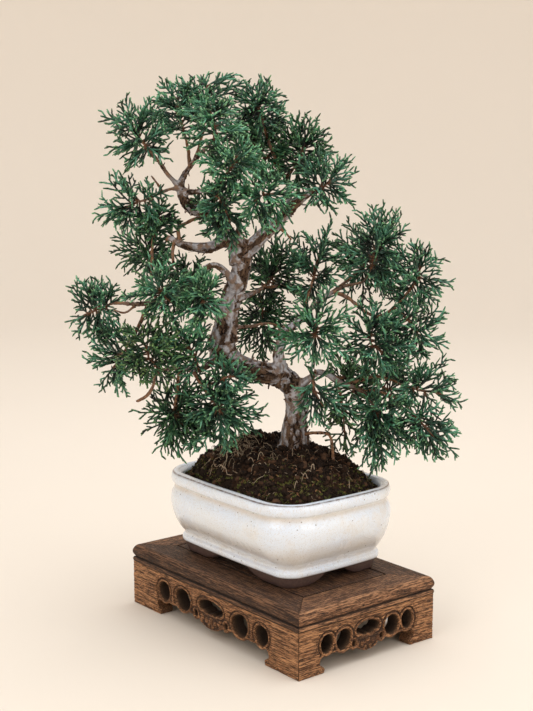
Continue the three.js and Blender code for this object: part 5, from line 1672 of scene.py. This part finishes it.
class Spray:
    """Grows one spray's cords in mm of the tree's frame, and keeps them by number of rings."""

    def __init__(self, twig, middle, size, leaders, trailing, seed):
        self.random = np.random.default_rng(seed)
        self.leaders, self.trailing = leaders, trailing
        self.phases = self.random.uniform(0, 6.28, 3)
        self.middle, self.size = np.array(middle, float), size
        limb = smooth_line(LIMBS[twig], 2.0)[:, :3]
        self.start = limb[-1]
        self.along = unit(limb[-1] - limb[-2])
        tip = self.middle + self.along * self.size * 0.3
        self.spine = np.vstack([limb[-7:], self.start + (tip - self.start) * np.linspace(0.2, 1, 6)[:, None]])
        self.cords = {}

    def cord(self, start, bend, end, thick, thin, woody=(0, 0), tip=0.0, sides=5):
        """Keeps one cord from start to end, with its radii and how woody it is at both."""
        length = np.linalg.norm(end - start)
        rings = max(3, int(length / SCALE) + 1)
        row = (start, bend, end, thick, thin, *woody, tip, self.random.uniform(0, 1))
        self.cords.setdefault((rings, sides), []).append(row)

    def outline(self, direction):
        """How far the spray reaches in a direction, in half sizes: lobes with gaps between them."""
        a, b, c = self.phases
        x, y, z = direction
        wave = math.sin(4.1 * x + a) * math.sin(3.7 * y + b) + 0.6 * math.sin(5.2 * z + 2.2 * x + c)
        return REACH * (1 + 0.17 * wave)

    def inside(self, start, end):
        """The end, brought back to the spray's outline where it would reach past it."""
        place = (end - self.middle) / self.size
        reach = np.linalg.norm(place)
        past = reach - self.outline(place / reach)
        return end if past <= 0 else start + (end - start) * max(0.45, 1 - past * 1.3)

    def shoots(self, start, bend, end, level):
        """Side shoots left and right of one cord, and forks on the longer ones."""
        every, longest, shortest, thick, first = SHOOTS if level == 1 else FORKS
        if self.trailing:
            every, longest = every * 1.2, longest * 1.2
        run = np.linalg.norm(end - start)
        axis = unit(end - start)
        flat = unit(np.cross(axis, unit(self.random.normal(0, 1, 3))))
        share = first + self.random.uniform(0, every / run)
        side = 1 if self.random.uniform() < 0.5 else -1
        while share < 0.97:
            at = (1 - share) ** 2 * start + 2 * share * (1 - share) * bend + share ** 2 * end
            lean = math.radians(self.random.normal(36, 6))
            tilt = self.random.normal(0, 0.3)
            out = flat * side * math.cos(tilt) + np.cross(axis, flat) * math.sin(tilt)
            direction = axis * math.cos(lean) + out * math.sin(lean)
            length = (longest + (shortest - longest) * share) * self.random.uniform(0.7, 1.2)
            tip = self.inside(at, at + direction * length)
            if np.linalg.norm(tip - at) > 1.5 and is_free(tip, self.start):
                curve = (at + tip) / 2 + (direction - axis) * length * 0.05
                self.cord(at, curve, tip, thick, thick * 0.92, tip=1.0, sides=5 if level == 1 else 4)
                if level == 1 and length > 5.5:
                    self.shoots(at, curve, tip, 2)
            side = -side
            share += every * self.random.uniform(0.8, 1.2) / run

    def grow(self):
        """The stem, and leaders from it to all sides, with their shoots."""
        tip = self.spine[-1]
        self.cord(self.start + self.along * 0.2, (self.start + tip) / 2, tip, 1.0, 0.6, woody=(1, 0.4))
        turn = self.random.uniform(0, 6.28)
        for i in range(self.leaders):
            spread = even_direction(i, self.leaders, turn)
            direction = unit(spread + self.random.normal(0, 0.2, 3))
            if self.trailing:
                direction = unit(direction + self.along * 0.12)
            # A leader that points along the twig starts further out on the spray's spine.
            forward = 0.45 + 0.45 * direction @ self.along + self.random.uniform(-0.15, 0.15)
            if self.trailing:
                forward = self.random.uniform(0, 0.6)
            start = self.spine[int(np.clip(forward, 0, 0.999) * len(self.spine))]
            reach = self.outline(direction) * self.random.uniform(0.85, 1.05)
            end = self.middle + direction * self.size * reach
            run = np.linalg.norm(end - start)
            if run < 6 or not is_free(end, self.start):
                continue
            bend = start + self.along * run * 0.07 + (end - start) * 0.46
            self.cord(start, bend, end, 0.82, 0.72, woody=(0.6, -1.7), tip=1.0)
            self.shoots(start, bend, end, 1)

    def fill(self, heap):
        """Turns the cords into tubes."""
        for (rings, sides), rows in self.cords.items():
            start, bend, end = (np.array([row[k] for row in rows]) for k in range(3))
            thick, thin, woody0, woody1, tip, tone = np.array([row[3:] for row in rows]).T
            t = np.linspace(0, 1, rings)[None, :, None]
            centre = (1 - t) ** 2 * start[:, None] + 2 * t * (1 - t) * bend[:, None] + t ** 2 * end[:, None]
            along = unit(end - start)
            across = unit(np.cross(along, [0.35, 0.2, 0.91]))
            up = np.cross(along, across)
            angle = circle(sides)
            ring = np.cos(angle)[None, :, None] * across[:, None] + np.sin(angle)[None, :, None] * up[:, None]
            share = t[..., 0]
            radius = thick[:, None] + (thin - thick)[:, None] * share
            radius = radius * (1 + 0.09 * np.where(np.arange(rings) % 2, 1, -1))
            radius[:, -1] *= 0.7
            points = centre[:, :, None] + radius[:, :, None, None] * ring[:, None]
            run = np.linalg.norm(end - start, axis=1)[:, None]
            fresh = tip[:, None] * ease(2.6, 0.4, (1 - share) * run)
            # Painted shade: how deep inside its spray each ring lies, so that it can be darkened.
            deep = ease(0.95, 0.3, np.linalg.norm((centre - self.middle) / self.size, axis=2))
            woody = np.clip(woody0[:, None] + (woody1 - woody0)[:, None] * share, 0, 1)
            each = stack_faces(rings, sides)
            faces = [[i + k * rings * sides for i in face] for k in range(len(rows)) for face in each]
            heap.add(from_tree(points.reshape(-1, 3)), faces, tip=np.repeat(fresh, sides),
                     deep=np.repeat(deep, sides), woody=np.repeat(woody, sides),
                     tone=np.repeat(tone, rings * sides))


print("a direction of", LEADERS, "over a ball:", even_direction(0, LEADERS, 0).round(2))

# %% [markdown]
# ### The foliage's finish, and all sprays
# Scales are blue-green and darker where they overlap, and deep inside a spray they are darker still: painted
# shade. Four greens are enough for the whole tree, because each cord also carries a random tone of its own.
# Of these greens, the bright one is painted light, for sprays at the front, and the deep one is painted
# shade, for sprays at the back, inside and below. A picture of leaves would repeat, so cells of less than a
# millimetre draw the scales' edges.

# %% The foliage's finish, and all sprays
def foliage_finish(name, shade, body, light, fresh):
    """Blue-green scales, darker between them, with painted shade deep inside a spray, yellower at the tips,
    and brown where woody.
    """
    finish = Finish(name, Specular_IOR_Level=0.4)
    tone = finish.point_value("tone")
    patch = finish.noise(70, 2)
    colour = finish.mix(finish.math("POWER", tone, 1.7), body, light)
    colour = finish.mix(finish.step(patch, 0.62, 0.3), colour, shade)
    # Painted shade: cords are darker deep inside their spray.
    colour = finish.mix(finish.share(finish.point_value("deep"), 0.74), colour, shade)
    scales = finish.cells(1500)
    colour = finish.mix(finish.step(scales, 0.2, 0.65), colour, finish.mix(0.55, colour, shade))
    tips = finish.math("MULTIPLY", finish.point_value("tip"), finish.between(tone, 0, 1, 0.1, 0.8))
    colour = finish.mix(tips, colour, fresh)
    brown = finish.mix(finish.noise(500), srgb(74, 46, 32), srgb(128, 88, 62))
    colour = finish.mix(finish.step(finish.point_value("woody"), 0.15, 0.5), colour, brown)
    rough = finish.between(patch, 0, 1, 0.34, 0.52)
    return finish.wear(colour, rough, scales, 0.0003, 0.8)


# The bright greens are painted light and the deep greens are painted shade: lit and shaded copies of the
# plain green.
GREENS = {  # a material's name, and its colours for shade, body, light and fresh tips
    GREEN: ("juniper_green", (2, 17, 7), (27, 91, 55), (138, 218, 184), (136, 190, 126)),
    PAINTED_LIT_GREEN: ("juniper_painted_lit", (4, 24, 12), (38, 117, 70), (154, 232, 194), (156, 210, 142)),
    PAINTED_SHADE_GREEN: ("juniper_painted_shade", (2, 15, 6), (24, 77, 43), (104, 174, 128), (116, 164, 98)),
    OLIVE: ("juniper_olive", (4, 19, 7), (38, 88, 43), (120, 178, 118), (142, 176, 102)),
}
finishes = {slot: foliage_finish(name, *[srgb(*colour) for colour in colours])
            for slot, (name, *colours) in GREENS.items()}
shown_cords = 0
for i, (name, twig, middle, size, wider, fuller, green) in enumerate(SPRAYS):
    size = np.array(size, float) * wider
    spray = Spray(twig, middle, size, round(LEADERS * fuller), name in TRAILING, 100 + i)
    spray.grow()
    heap = Heap()
    spray.fill(heap)
    settle(heap.piece(f"spray_{name}"), finishes[green], green, f"foliage_{name}")
    shown_cords += sum(len(rows) for rows in spray.cords.values())
print("sprays:", len(SPRAYS), "cords:", shown_cords)
